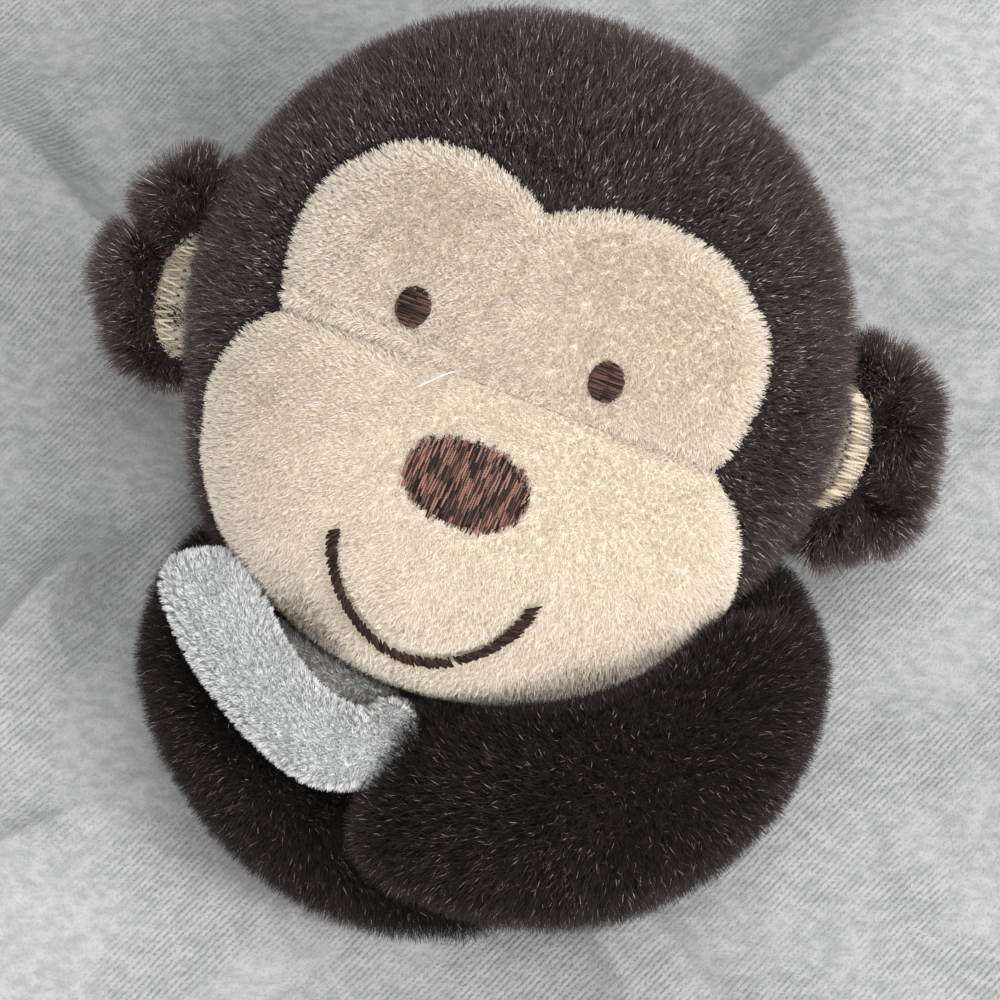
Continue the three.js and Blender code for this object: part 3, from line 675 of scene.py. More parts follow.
def stitch_shape():
    """One stitch of unit size: a short thread that dips into the fabric at both ends."""
    sides = 6
    stations = [(-0.5, 0.1), (-0.43, 0.36), (-0.2, 0.5), (0.2, 0.5), (0.43, 0.36), (0.5, 0.1)]
    points = []
    for along, half in stations:
        for k in range(sides):
            angle = 2 * math.pi * k / sides
            rise = 0.5 - 1.6 * along * along
            points.append((along, half * math.cos(angle), rise + half * math.sin(angle)))
    faces = [tuple(range(sides - 1, -1, -1)), tuple(range(5 * sides, 6 * sides))]
    for i in range(len(stations) - 1):
        for k in range(sides):
            a, b = i * sides + k, i * sides + (k + 1) % sides
            faces.append((a, b, b + sides, a + sides))
    mesh = bpy.data.meshes.new("stitch_shape")
    mesh.from_pydata(points, [], faces)
    mesh.shade_smooth()
    shape = linked("stitch_shape", mesh)
    mark(shape, "along", [p[0] + 0.5 for p in points])
    mark(shape, "across", [p[1] for p in points])
    return shape


PILE = pile_tree()
STITCHES = stitch_tree()
HAIR = hair_shape()
STITCH = stitch_shape()
STRAND_MARKS = ("tone", "along", "across", "comb", "cover", "reach", "tint", "way", "up", "span")


def kept_as_strands(name, carrier, tree, values):
    """Runs a tree on an object and keeps the result as a plain mesh with one map."""
    grower = carrier.modifiers.new("grow", "NODES")
    grower.node_group = tree
    set_inputs(grower, tree, values)
    mesh = made_plain(carrier)
    carrier.modifiers.remove(grower)
    mesh.name = name
    for used in STRAND_MARKS:
        if used in mesh.attributes:
            mesh.attributes.remove(mesh.attributes[used])
    return linked(name, mesh)


def pile(name, skin, count, hair, finish, seed):
    """Grows a pile on a skin. hair gives the sizes and the set of its hairs."""
    area = sum(face.area for face in skin.data.polygons)
    values = {
        "Hair": HAIR,
        "Finish": finish,
        "Density": count / area,
        "Length": hair["length"] * MM,
        "Width": hair["width"] * MM,
        "Lean": hair["lean"],
        "Tuft size": hair["tuft"] * MM,
        "Gathering": hair["gathering"],
        "Stray": hair["stray"],
        "Seed": seed,
    }
    return kept_as_strands(name, skin, PILE, values)


def combable(skin, comb, cover=1.0, reach=1.0, tint=0.0):
    n = len(skin.data.vertices)
    mark(skin, "comb", comb)
    mark(skin, "cover", np.broadcast_to(cover, n))
    mark(skin, "reach", np.broadcast_to(reach, n))
    mark(skin, "tint", np.broadcast_to(tint, n))


def stitched(name, starts, ends, ups, thickness, finish, seed):
    starts, ends = np.asarray(starts, float), np.asarray(ends, float)
    mesh = bpy.data.meshes.new(name + "_places")
    mesh.from_pydata(((starts + ends) / 2 * MM).tolist(), [], [])
    carrier = linked(name + "_places", mesh)
    mark(carrier, "way", unit(ends - starts))
    mark(carrier, "up", np.asarray(ups, float))
    mark(carrier, "span", np.linalg.norm(ends - starts, axis=1) * MM)
    values = {"Stitch": STITCH, "Finish": finish, "Thickness": thickness * MM, "Seed": seed}
    row = kept_as_strands(name, carrier, STITCHES, values)
    discard(carrier)
    return row


# Head form


def turn(axis, degrees):
    return np.array(Matrix.Rotation(math.radians(degrees), 3, axis))


HEAD_TURN = turn("X", HEAD_TILT) @ turn("Z", HEAD_ROLL) @ turn("Y", HEAD_YAW)
HEAD_RISE = np.linalg.norm(HEAD_TURN[2] * HEAD_HALF) - HEAD_PRESSED
HEAD_CENTRE = np.array([*HEAD_PLACE, TABLE + HEAD_RISE])


def from_head(points):
    return HEAD_CENTRE + points @ HEAD_TURN.T


def to_head(points):
    return (points - HEAD_CENTRE) @ HEAD_TURN


def soft_most(a, b):
    """The greater of two values, eased where they are near each other."""
    share = np.clip(0.5 + 0.5 * (a - b) / MUZZLE_EASE, 0, 1)
    return b + (a - b) * share + MUZZLE_EASE * share * (1 - share)


def head_reach(ways):
    """How far the head's fabric is from its middle, along unit directions."""
    ball = 1 / np.linalg.norm(ways / HEAD_HALF, axis=-1)
    across = ways / MUZZLE_HALF
    middle = MUZZLE_AT / MUZZLE_HALF
    pace = (across * across).sum(-1)
    ahead = (across * middle).sum(-1)
    muzzle = (ahead + np.sqrt(ahead**2 - pace * ((middle * middle).sum() - 1))) / pace
    return soft_most(ball, muzzle)


def head_depth(points):
    """Height of points in the head's frame above its fabric, along the ray from its middle."""
    far = np.linalg.norm(points, axis=-1)
    return far - head_reach(unit(points))


def head_up(points):
    """Directions straight out of the head's fabric, in its frame."""
    step = 0.05
    slopes = []
    for axis in np.eye(3) * step:
        slopes.append(head_depth(points + axis) - head_depth(points - axis))
    return unit(np.stack(slopes, -1))


def on_head(spots):
    """Points of the fabric from a flat map of the head: angle from the face's middle, and direction."""
    angle = np.linalg.norm(spots, axis=-1, keepdims=True)
    flat = spots / np.maximum(angle, 1e-9)
    ways = np.concatenate([np.sin(angle) * flat, np.cos(angle)], -1)
    return ways * head_reach(ways)[..., None]


def face_height(x, y):
    ball = np.clip(1 - (x / HEAD_HALF[0]) ** 2 - (y / HEAD_HALF[1]) ** 2, 0, None)
    muzzle = np.clip(1 - (x / MUZZLE_HALF[0]) ** 2 - ((y - MUZZLE_AT[1]) / MUZZLE_HALF[1]) ** 2, 0, None)
    low = np.where(muzzle > 0, MUZZLE_AT[2], 0)
    return soft_most(HEAD_HALF[2] * np.sqrt(ball), low + MUZZLE_HALF[2] * np.sqrt(muzzle))


def face_map(outline):
    """Places across the face as places on the flat map of the head, kept inside the muzzle's rim."""
    offset = np.asarray(outline, float) - MUZZLE_AT[:2]
    share = np.linalg.norm(offset / MUZZLE_HALF[:2], axis=-1, keepdims=True)
    inside = offset * np.minimum(1, RIM_SHARE / np.maximum(share, 1e-9))
    low = offset[..., 1:] < -SEAM_DROP - MUZZLE_AT[1]
    spots = np.where(low, inside, offset) + MUZZLE_AT[:2]
    z = face_height(spots[..., 0], spots[..., 1])
    angle = np.arctan2(np.hypot(spots[..., 0], spots[..., 1]), z)
    return unit(spots) * angle[..., None]


def from_smile(x, y):
    return np.abs(np.hypot(x - SMILE_AT[0], y - SMILE_AT[1]) - SMILE_RADIUS)


def muzzle_share(points):
    """How far out points lie from the middle of the chin's curve, as a share of it, seen on the face."""
    aside = (points[..., 0] - MUZZLE_ASIDE) / CHEEK[0]
    down = (points[..., 1] - CHEEK[1]) / (CHEEK[1] - CHIN)
    return np.hypot(aside, down)


def inside_rim(points):
    """How far points lie inside the chin's curve, seen on the face."""
    return (1 - muzzle_share(points)) * CHEEK[0]


def muzzle_fullness(x, y):
    """How far the stuffed muzzle swells just inside its lower and right edges."""
    inside = inside_rim(np.stack([x, y], -1))
    low = smooth(-y, 24, 36) * smooth(x, -16, -2)
    right = smooth(x, 14, 32) * smooth(-y, 8, 18)
    return 1.5 * bump(inside - 5.5, 4.0) * np.maximum(low, right) + 1.1 * bump(inside, 5.0) * right


def sewn_in(x, y):
    """How deep the embroidery draws the face in, less what the muzzle swells."""
    deep = sum(0.8 * bump(np.hypot(x - ex, y - ey), 6.5) for ex, ey in EYES_AT)
    deep = deep + 0.7 * bump(np.hypot((x - NOSE_AT[0]) / 1.4, y - NOSE_AT[1]), 8)
    deep = deep + 0.3 * bump(from_smile(x, y), 2.6) * smooth(SMILE_AT[1] + 7 - y, 0, 7)
    return deep - muzzle_fullness(x, y)


def off_seam(y, start=1.0):
    """Nought at the brow seam, and one from 4 mm off it."""
    return smooth(np.abs(y + SEAM_DROP), start, 4.0)


def seam_depth(x, y):
    """The brow seam's crease: deep at the sides and faint across the middle."""
    sides = 0.12 + 0.88 * smooth(np.abs(x), 8, 24)
    return 1.5 * sides * bump(y + SEAM_DROP, 1.3)


def seam_welt(x, y):
    """The seam's turned-in edges show as a low roll above it on the left."""
    shown = smooth(-x, 2, 12)
    return shown * (0.55 * bump(y + SEAM_DROP - 1.5, 0.9) - 0.6 * bump(y + SEAM_DROP - 3.4, 0.7))


def face_fabric(x, y, lift=0.0):
    """Points and outward directions on the face's fabric, in the head's frame."""
    spots = on_head(face_map(np.stack([x, y], -1)))
    ups = head_up(spots)
    across, up_face = spots[..., 0], spots[..., 1]
    level = lift - PANEL_SINK - sewn_in(across, up_face) - seam_depth(across, up_face)
    return spots + ups * level[..., None], ups


def curve_points(ends, steps):
    """A Bezier curve of the second or third order from its control points, without its last point."""
    t = np.linspace(0, 1, steps, endpoint=False)[:, None]
    row = np.asarray(ends, float)
    n = len(row) - 1
    return sum(math.comb(n, i) * (1 - t) ** (n - i) * t**i * row[i] for i in range(n + 1))


def evenly(outline, count):
    closed = np.vstack([outline, outline[:1]])
    run = np.concatenate([[0], np.cumsum(np.linalg.norm(np.diff(closed, axis=0), axis=1))])
    at = np.linspace(0, run[-1], count, endpoint=False)
    return np.stack([np.interp(at, run, closed[:, i]) for i in (0, 1)], -1)


def brow_upper():
    """The brow's edge against the fur, from its right notch over both lobes to its left notch."""
    notch = (NOTCH_X, -SEAM_DROP)
    corner = BROW_CORNER
    sides = []
    for way in (1, -1):
        dip = (way * BROW_DIP[0], BROW_DIP[1])
        side = np.vstack([
            curve_points([notch, (BROW_SIDE, corner[1] / 4), (BROW_SIDE, corner[1] * 0.75), corner], 40),
            curve_points([corner, (24.5, BROW_TOP), (9 + dip[0], BROW_TOP), dip], 50),
        ])
        sides.append(side * (way, 1))
    return np.vstack([sides[0], [BROW_DIP], sides[1][::-1]])


def muzzle_lower():
    """The muzzle's edge against the fur, from its left notch round the chin to its right notch."""
    knee = (-SEAM_DROP + CHEEK[1]) / 2
    left = curve_points([(-NOTCH_X, -SEAM_DROP), (-CHEEK[0], knee), (-CHEEK[0], CHEEK[1])], 16)
    angles = np.linspace(math.pi, 1.5 * math.pi, 60)
    chin = np.stack([CHEEK[0] * np.cos(angles), CHEEK[1] + (CHEEK[1] - CHIN) * np.sin(angles)], -1)
    half = np.vstack([left, chin[:-1]])
    edge = np.vstack([half, [(0, CHIN)], half[::-1] * (-1, 1)])
    edge[:, 0] += MUZZLE_ASIDE * smooth(-edge[:, 1], SEAM_DROP, -CHEEK[1])
    return edge


def above_table(points, level):
    lifted = points.copy()
    lifted[..., 2] = np.maximum(lifted[..., 2], level)
    return lifted


# Head pieces


def face_panel(name, outline, middle, rings=58, around=240):
    """A panel of the face, from its middle to its edge, and where each point lies across the face."""
    border = face_map(evenly(outline, around))
    hub = face_map(np.asarray(middle, float))
    shares = np.linspace(0, 1, rings + 1)[1:] ** 0.85
    spots = hub + shares[:, None, None] * (border - hub)
    flat = on_head(np.vstack([hub[None], spots.reshape(-1, 2)]))
    ups = head_up(flat)
    edge = np.linalg.norm(on_head(border) - on_head(hub[None]), axis=-1)
    inwards = np.concatenate([[edge.mean()], ((1 - shares)[:, None] * edge).ravel()])
    x, y = flat[:, 0], flat[:, 1]
    tucked = bump(inwards, 1.8) * off_seam(y)
    level = -PANEL_SINK - sewn_in(x, y) - seam_depth(x, y) + seam_welt(x, y) - tucked
    level += 0.16 * ripple(flat, 9, 3)
    points = from_head(flat + ups * level[:, None])
    faces = grid_faces(rings, around)
    panel = mesh_of(name, points, faces, TAN_BACK)
    return panel, flat, ups, inwards


def face_comb(flat, ups, middle, inwards):
    """The nap lies towards the lower left in whorls, and outwards along the panel's edge."""
    angle = np.radians(-112 + 40 * ripple(flat, 26, 12) + 30 * ripple(flat, 5, 4))
    lying = np.stack([np.cos(angle), np.sin(angle), np.zeros_like(angle)], -1)
    out = np.concatenate([unit(flat[:, :2] - middle), np.zeros((len(flat), 1))], -1)
    share = (bump(inwards, 4.0) * off_seam(flat[:, 1]))[:, None]
    return unit(laid_on(lying * (1 - share) + out * share, ups)) @ HEAD_TURN.T


def make_face_panel(name, node, outline, middle, count, soil_and_shade, seed):
    """A tan panel with its nap, bare under the embroidery. Where it has soil and painted shade, that is
    beside the paw.
    """
    panel, flat, ups, inwards = face_panel(name + "_skin", outline, middle)
    x, y = flat[:, 0], flat[:, 1]
    side = np.degrees(np.arctan2(y - CHEEK[1], x))
    # The nap beside the paw is tinted grey-brown: partly soil, partly painted shade next to the paw and the
    # chin's rim.
    rubbed_and_shaded = bump(inside_rim(flat), SOIL_AND_SHADE_DEEP) * bump(np.mod(side, 360) - SOIL_AND_SHADE_AT, SOIL_AND_SHADE_SPREAD)
    tint = soil_and_shade * rubbed_and_shaded * (1 + 0.15 * ripple(flat, 5, 8))
    cover = np.ones(len(flat))
    for (ex, ey), half in ((EYES_AT[0], EYE_HALF), (EYES_AT[1], EYE_HALF), (NOSE_AT, NOSE_HALF)):
        cover *= smooth(np.hypot((x - ex) / half[0], (y - ey) / half[1]), 0.95, 1.06)
    under_smile = (y < SMILE_AT[1] - 1.7) & (from_smile(x, y) < SMILE_WIDTH / 2 + 0.25)
    cover *= np.where(under_smile, 0.02, 1)
    reach = 1 + 0.3 * bump(inwards, 1.6) * off_seam(y, 1.5)
    combable(panel, face_comb(flat, ups, np.asarray(middle), inwards), cover, reach, tint)
    nap = pile(name + "_nap", panel, count, FACE_NAP, TAN_NAP, seed)
    dress(thickened(panel, PANEL_BACKING), nap, "head", "tan_plush", node)


def make_face():
    """Both panels of the face. Gives their edges against the fur."""
    seam_line = np.stack([np.linspace(-NOTCH_X, NOTCH_X, 60), np.full(60, -SEAM_DROP + 0.05)], -1)
    upper = brow_upper()
    lower = muzzle_lower()
    brow_edge = np.vstack([seam_line[:-1], upper[:-1]])
    muzzle_edge = np.vstack([(seam_line[::-1] - (0, 0.1))[:-1], lower[:-1]])
    make_face_panel("brow", "brow_panel", brow_edge, (0.0, 7.0), BROW_HAIRS, 0.0, 21)
    make_face_panel("muzzle", "muzzle_panel", muzzle_edge, (0.0, -25.0), MUZZLE_HAIRS, SOIL_AND_SHADE, 22)
    return upper, lower


def head_fur(name, node, spots, faces, sink, reach, count, seed):
    """One panel of the head's fur from places on the head's map."""
    flat = on_head(spots)
    ups = head_up(flat)
    points = above_table(from_head(flat - ups * sink[:, None]), TABLE + 0.4)
    skin = mesh_of(name + "_skin", points, faces, FUR_BACK)
    ways = unit(flat)
    polar = np.arccos(np.clip(ways[:, 2], -1, 1))
    out = np.stack([ways[:, 0], ways[:, 1], np.zeros(len(ways))], -1)
    comb = unit(out) * np.cos(polar)[:, None] - np.array([0, 0, 1]) * np.sin(polar)[:, None]
    comb = comb * (0.35 + 0.4 * np.cos(polar)[:, None] ** 2) + np.array([0.0, 0.35, 0.0])
    comb += 0.35 * waves(flat, 14, 31)
    comb += unit(out) * (1.6 * (1 - smooth(reach, 0.3, 0.8)))[:, None]
    pressed = smooth(points[:, 2], TABLE + 0.5, TABLE + 4)
    combable(skin, laid_on(comb, ups) @ HEAD_TURN.T, pressed, reach)
    fur = pile(name + "_pile", skin, count, HEAD_FUR, FUR_HAIR, seed)
    dress(thickened(skin, FUR_BACKING), fur, "head", "brown_fur", node)


def make_head_front(upper, lower):
    """The fur between the face's edge and the seam round the head."""
    around, rings = 260, 26
    inner = face_map(evenly(np.vstack([upper[:-1], lower[:-1]]), around))
    outer = unit(inner) * math.pi / 2
    shares = np.linspace(0, 1, rings)
    spots = (inner + shares[:, None, None] * (outer - inner)).reshape(-1, 2)
    span = np.linalg.norm(on_head(outer) - on_head(inner), axis=-1)
    from_face = (shares[:, None] * span).ravel()
    from_back = ((1 - shares)[:, None] * span).ravel()
    sink = FUR_SINK_AT_FACE + (FUR_SINK - FUR_SINK_AT_FACE) * smooth(from_face, 0, 6)
    sink = sink + 1.3 * bump(from_face, 1.6) + 0.8 * bump(from_back, 2.0)
    sink += 1.3 * smooth(-on_head(spots)[:, 1], 2, 25)
    reach = 0.3 + 0.7 * smooth(from_face, 0.3, 9)
    faces = grid_faces(rings, around, hub=False)
    head_fur("head_front", "head_front_fur", spots, faces, sink, reach, HEAD_FRONT_HAIRS, 41)


def make_head_back(name, from_angle, seed):
    """One half of the back of the head, from the seam round the head to the seam down its middle."""
    columns, rows = 70, 36
    polar = np.radians(np.linspace(90, 179.5, rows))
    angles = np.radians(np.linspace(from_angle, from_angle + 180, columns))
    flat = np.stack([np.cos(angles), np.sin(angles)], -1)
    spots = (polar[:, None, None] * flat).reshape(-1, 2)
    to_seam = np.abs(on_head(spots)[:, 0])
    from_front = ((polar - math.pi / 2)[:, None] * BACK_RADIUS * np.ones(columns)).ravel()
    sink = FUR_SINK + 0.8 * bump(to_seam, 1.6) + 0.8 * bump(from_front, 2.0)
    faces = grid_faces(rows, columns, closed=False, hub=False)
    head_fur(name, name + "_fur", spots, faces, sink, np.ones(len(spots)), HEAD_BACK_HAIRS, seed)


def embroidered_pad(name, node, x0, y0, half, rise):
    """The low cushion under an embroidered shape."""
    around, rings = 48, 8
    angles = round_angles(around)
    shares = np.linspace(0, 1, rings + 1)[1:]
    x = np.concatenate([[x0], (x0 + half[0] * shares[:, None] * np.cos(angles)).ravel()])
    y = np.concatenate([[y0], (y0 + half[1] * shares[:, None] * np.sin(angles)).ravel()])
    share = np.concatenate([[0], np.repeat(shares, around)])
    spots, _ = face_fabric(x, y, 0.25 + rise * (1 - share**3))
    pad = mesh_of(name, from_head(spots), grid_faces(rings, around), BROWN_PAD)
    belongs(thickened(pad, 0.8), "head", "brown_thread", node)


def sewn_on_face(name, rows, lift, thick, thread, seed, *nodes):
    """Stitches on the face. Each row gives the places across it where one starts and ends."""
    rows = np.asarray(rows, float)
    starts, ups = face_fabric(rows[:, 0], rows[:, 1], lift)
    ends, _ = face_fabric(rows[:, 2], rows[:, 3], lift)
    threads = stitched(name, from_head(starts), from_head(ends), ups @ HEAD_TURN.T, thick, thread, seed)
    belongs(threads, "head", "brown_thread", *nodes)


def make_nose():
    rng = np.random.default_rng(5)
    embroidered_pad("nose_pad", "nose_embroidery", *NOSE_AT, NOSE_HALF, NOSE_RISE)
    rows = []
    lifts = []
    for i, x in enumerate(np.arange(-NOSE_HALF[0] + 0.15, NOSE_HALF[0], NOSE_ROW)):
        half = NOSE_HALF[1] * (1 - abs(x / NOSE_HALF[0]) ** NOSE_CURVE) ** (1 / NOSE_CURVE)
        top = half + rng.uniform(-0.35, 0.8)
        low = -half - rng.uniform(-0.35, 0.8)
        y = low - (i % 5) * 0.46 - rng.uniform(0, 0.3)
        while y < top:
            a, b = max(y, low), min(y + NOSE_STITCH, top)
            if b - a > 0.4:
                x1, x2 = x + rng.normal(0, 0.07), x + 0.12 + rng.normal(0, 0.07)
                rows.append((x1, a - 0.12, x2, b + 0.12))
                lifts.append(((a + b) / 2) / NOSE_HALF[1])
            y += NOSE_STITCH
    middle = np.hypot([(r[0] + r[2]) / 2 / NOSE_HALF[0] for r in rows], lifts)
    rows = np.array(rows) + NOSE_AT * 2
    lift = 0.3 + NOSE_RISE * (1 - np.clip(middle, 0, 1) ** 3)
    sewn_on_face("nose_threads", rows, lift, NOSE_THICK, BROWN_THREAD, 3)


def make_eye(side, at, seed):
    rng = np.random.default_rng(seed)
    embroidered_pad(side + "_eye_pad", side + "_eye_embroidery", *at, EYE_HALF, EYE_RISE)
    rows = []
    for y in np.arange(-EYE_HALF[1] + 0.35, EYE_HALF[1], EYE_ROW):
        half = EYE_HALF[0] * math.sqrt(max(0.0, 1 - (y / EYE_HALF[1]) ** 2))
        split = rng.uniform(-0.4, 0.4) * half
        tilt = rng.normal(0, 0.1)
        rows.append((-half - 0.1, y - tilt, split + 0.15, y))
        rows.append((split - 0.15, y, half + 0.1, y + tilt))
    fill_count = len(rows)
    for angle in round_angles(EYE_ROUND):
        for layer in (0.8, 0.94):
            a, b = angle + rng.normal(0, 0.05), angle + 0.42
            size = layer + rng.normal(0, 0.03)
            rows.append((
                EYE_HALF[0] * size * math.cos(a),
                EYE_HALF[1] * size * math.sin(a),
                EYE_HALF[0] * size * math.cos(b),
                EYE_HALF[1] * size * math.sin(b),
            ))
    lift = np.full(len(rows), EYE_ROUND_LIFT)
    lift[:fill_count] = EYE_FILL_LIFT
    sewn_on_face(side + "_eye_threads", np.array(rows) + at * 2, lift, EYE_THICK, EYE_THREAD, seed)


def make_smile():
    rng = np.random.default_rng(9)
    half = math.radians(SMILE_SWEEP / 2)
    rows = []
    for angle in np.arange(-half, half, SMILE_ROW / SMILE_RADIUS):
        at = angle - math.pi / 2
        if abs(math.degrees(angle) - SMILE_GAP_AT) < SMILE_GAP_HALF:
            continue
        wide = SMILE_WIDTH / 2 * (0.7 + 0.35 * smooth(abs(angle), 0.5, 1.3) + 0.06 * math.sin(7 * angle))
        inner = SMILE_RADIUS - wide + rng.uniform(-0.12, 0.2)
        outer = SMILE_RADIUS + wide + rng.uniform(-0.2, 0.12)
        lean = 0.045 + rng.normal(0, 0.012)
        rows.append((
            inner * math.cos(at - lean),
            inner * math.sin(at - lean),
            outer * math.cos(at + lean),
            outer * math.sin(at + lean),
        ))
    rows = np.array(rows) + SMILE_AT * 2
    lift = np.full(len(rows), SMILE_LIFT)
    sewn_on_face("smile_threads", rows, lift, SMILE_THICK, DARK_THREAD, 4, "smile_embroidery")


def make_loose_thread():
    """A short stray end of pale sewing thread beside the brow seam."""
    t = np.linspace(0, 1, 18)
    x = -10.65 + 4.6 * t + 0.5 * np.sin(3 * t)
    y = -10.3 + 4.2 * t + 0.9 * np.sin(math.pi * t) * t
    lift = 1.5 + 0.9 * np.sin(math.pi * t)
    line, _ = face_fabric(x, y, lift)
    line = from_head(line)
    along = unit(np.gradient(line, axis=0))
    side = unit(np.cross(along, HEAD_TURN[:, 2]))
    over = np.cross(side, along)
    sides = 6
    points = []
    for i in range(len(line)):
        half = LOOSE_THICK / 2 * (1 - 0.7 * smooth(t[i], 0.75, 1))
        for k in range(sides):
            angle = 2 * math.pi * k / sides
            points.append(line[i] + half * (math.cos(angle) * side[i] + math.sin(angle) * over[i]))
    faces = grid_faces(len(line), sides, hub=False)
    faces.append(tuple(range(sides)))
    faces.append(tuple(range((len(line) - 1) * sides + sides - 1, (len(line) - 1) * sides - 1, -1)))
    thread = mesh_of("loose_thread", points, faces, PALE_THREAD)
    set_outwards(thread)
    belongs(thread, "head", "tan_plush")


# Soft forms taken from the frame


CLOTH_STEPS = 20


def soft_copy(name, node, voxel, rounds, material):
    """A smooth closed copy of a CAD solid."""
    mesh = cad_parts[node].data.copy()
    mesh.materials.clear()
    shell = bmesh.new()
    shell.from_mesh(mesh)
    bmesh.ops.remove_doubles(shell, verts=shell.verts, dist=1e-6)
    shell.to_mesh(mesh)
    shell.free()
    return melted(name, linked(name + "_rough", mesh), voxel, rounds, material)


def melted(name, rough, voxel, rounds, material):
    """One smooth closed skin round a rough form, in its place."""
    remesh = rough.modifiers.new("remesh", "REMESH")
    remesh.mode = "VOXEL"
    remesh.voxel_size = voxel * MM
    ease = rough.modifiers.new("ease", "SMOOTH")
    ease.factor = 0.5
    ease.iterations = rounds
    smoothed = made_plain(rough)
    discard(rough)
    smoothed.name = name
    smoothed.materials.clear()
    smoothed.materials.append(material)
    smoothed.shade_smooth()
    return linked(name, smoothed)


def swollen(thing, by):
    place(thing, places(thing) + outward(thing) * np.reshape(by, (-1, 1)))


def puffed(thing, pressure, cap):
    """Lets the cover fill out under pressure as cloth, by no more than a few tenths."""
    rest = places(thing)
    cloth = thing.modifiers.new("cloth", "CLOTH")
    cloth.settings.quality = 5
    cloth.settings.mass = 0.1
    cloth.settings.use_pressure = True
    cloth.settings.uniform_pressure_force = pressure
    cloth.settings.effector_weights.gravity = 0
    cloth.point_cache.frame_start = 1
    cloth.point_cache.frame_end = CLOTH_STEPS
    for step in range(1, CLOTH_STEPS + 1):
        scene.frame_set(step)
    after = made_plain(thing)
    thing.modifiers.remove(cloth)
    scene.frame_set(1)
    filled = np.zeros(len(after.vertices) * 3, np.float32)
    after.vertices.foreach_get("co", filled)
    bpy.data.meshes.remove(after)
    move = filled.reshape(-1, 3) / MM - rest
    far = np.linalg.norm(move, axis=1, keepdims=True)
    place(thing, rest + move * np.minimum(1, cap / np.maximum(far, 1e-6)))


def make_filling(name, node, body, shrink):
    fill = soft_copy(name, node, 2.5, 4, FIBRE)
    lumps = ripple(places(fill), 11, 6)
    swollen(fill, 0.35 * lumps - shrink)
    belongs(fill, body, "fibre_fill", node)
    return fill


# Ears


EAR_SINK = np.array([2.4, 2.4, 2.2])
EAR_DISH = 2.4
EAR_DISH_AT = 51.0
EAR_DISH_HALF = (8.5, 12.0)
EAR_SHIFT = {"right": -1.0, "left": 2.2}
EAR_NOTCH = {"right": 0.0, "left": 2.6}
EAR_BARE_AT = 49.4
EAR_BARE_HALF = (6.4, 10.4)
# The lining's outer edge is half an oval, and its inner one goes under the fur of the head
LINING_AT = {"right": -1.0, "left": 4.6}
LINING_MIDDLE = 49.3
LINING_HALF = (6.2, 10.1)
LINING_REACH = 9.9
LINING_LIFT = 0.55
LINING_INNER = 47.9
ZIGZAG_STEP = {"right": 0.62, "left": 1.3}
ZIGZAG_REACH = 9.2
ZIGZAG_DEEP = 3.3
ZIGZAG_INNER = 48.4
ZIGZAG_LIFT = 0.95
ZIGZAG_THICK = 0.42
WISP_THICK = 0.4


def on_ear(points, turned):
    """Points of an ear's own frame in the toy's frame."""
    return from_head(points @ turn("Z", turned).T)


def ear_dish(x, y, at):
    return EAR_DISH * bump(np.hypot((x - EAR_DISH_AT) / EAR_DISH_HALF[0], (y - at) / EAR_DISH_HALF[1]), 0.8)


def ear_top(x, y, at):
    """Height of the ear pad's face above its middle, with the dish that the lining lies in."""
    size = EAR_HALF - EAR_SINK
    inside = np.clip(1 - ((x - EAR_AT) / size[0]) ** 2 - (y / size[1]) ** 2, 0, None)
    return size[2] * np.sqrt(inside) - ear_dish(x, y, at)


def lining_edge(y, at):
    return LINING_MIDDLE + LINING_HALF[0] * np.sqrt(1 - ((y - at) / LINING_HALF[1]) ** 2)


def make_ear(side, turned, seed):
    """A ruffled pad of fur that sits against the head, with its lining."""
    around, rows = 64, 40
    at = LINING_AT[side]
    shape = unit_ball(around, rows)
    points = np.array([EAR_AT, EAR_SHIFT[side], 0]) + shape * (EAR_HALF - EAR_SINK)
    points[:, 2] -= np.where(shape[:, 2] > 0, ear_dish(points[:, 0], points[:, 1], at), 0)
    way = np.degrees(np.arctan2(shape[:, 1], shape[:, 0]))
    ruffle = 0.8 * ripple(points + seed * 40, 10, seed) - EAR_NOTCH[side] * bump(way + 32, 13)
    points += unit(shape) * ruffle[:, None]
    in_head = points @ turn("Z", turned).T
    buried = np.maximum(0, 0.3 - head_depth(in_head))
    in_head += head_up(in_head) * buried[:, None]
    skin = mesh_of(side + "_ear_skin", from_head(in_head), capped_faces(rows, around), FUR_BACK)
    set_outwards(skin)
    out = shape * (1.0, 1.0, 0.2)
    comb = laid_on(0.8 * out + 0.5 * waves(points, 11, seed), shape)
    lining = np.hypot((points[:, 0] - EAR_BARE_AT) / EAR_BARE_HALF[0], (points[:, 1] - at) / EAR_BARE_HALF[1])
    hollow = 0.25 * smooth(lining, 0.92, 1.08) + 0.75 * smooth(lining, 1.2, 1.7)
    bare = np.where(shape[:, 2] > 0, hollow, 1)
    free = smooth(-buried, -0.6, -0.1)
    world_comb = comb @ turn("Z", turned).T @ HEAD_TURN.T
    combable(skin, world_comb, bare * free, 0.6 + 0.5 * smooth(lining, 1, 2.0))
    fur = pile(side + "_ear_pile", skin, EAR_HAIRS, EAR_FUR, FUR_HAIR, seed)
    dress(skin, fur, side + "_ear", "brown_fur", side + "_ear_fur")
    make_lining(side, turned, seed)
    make_zigzag(side, turned, seed)


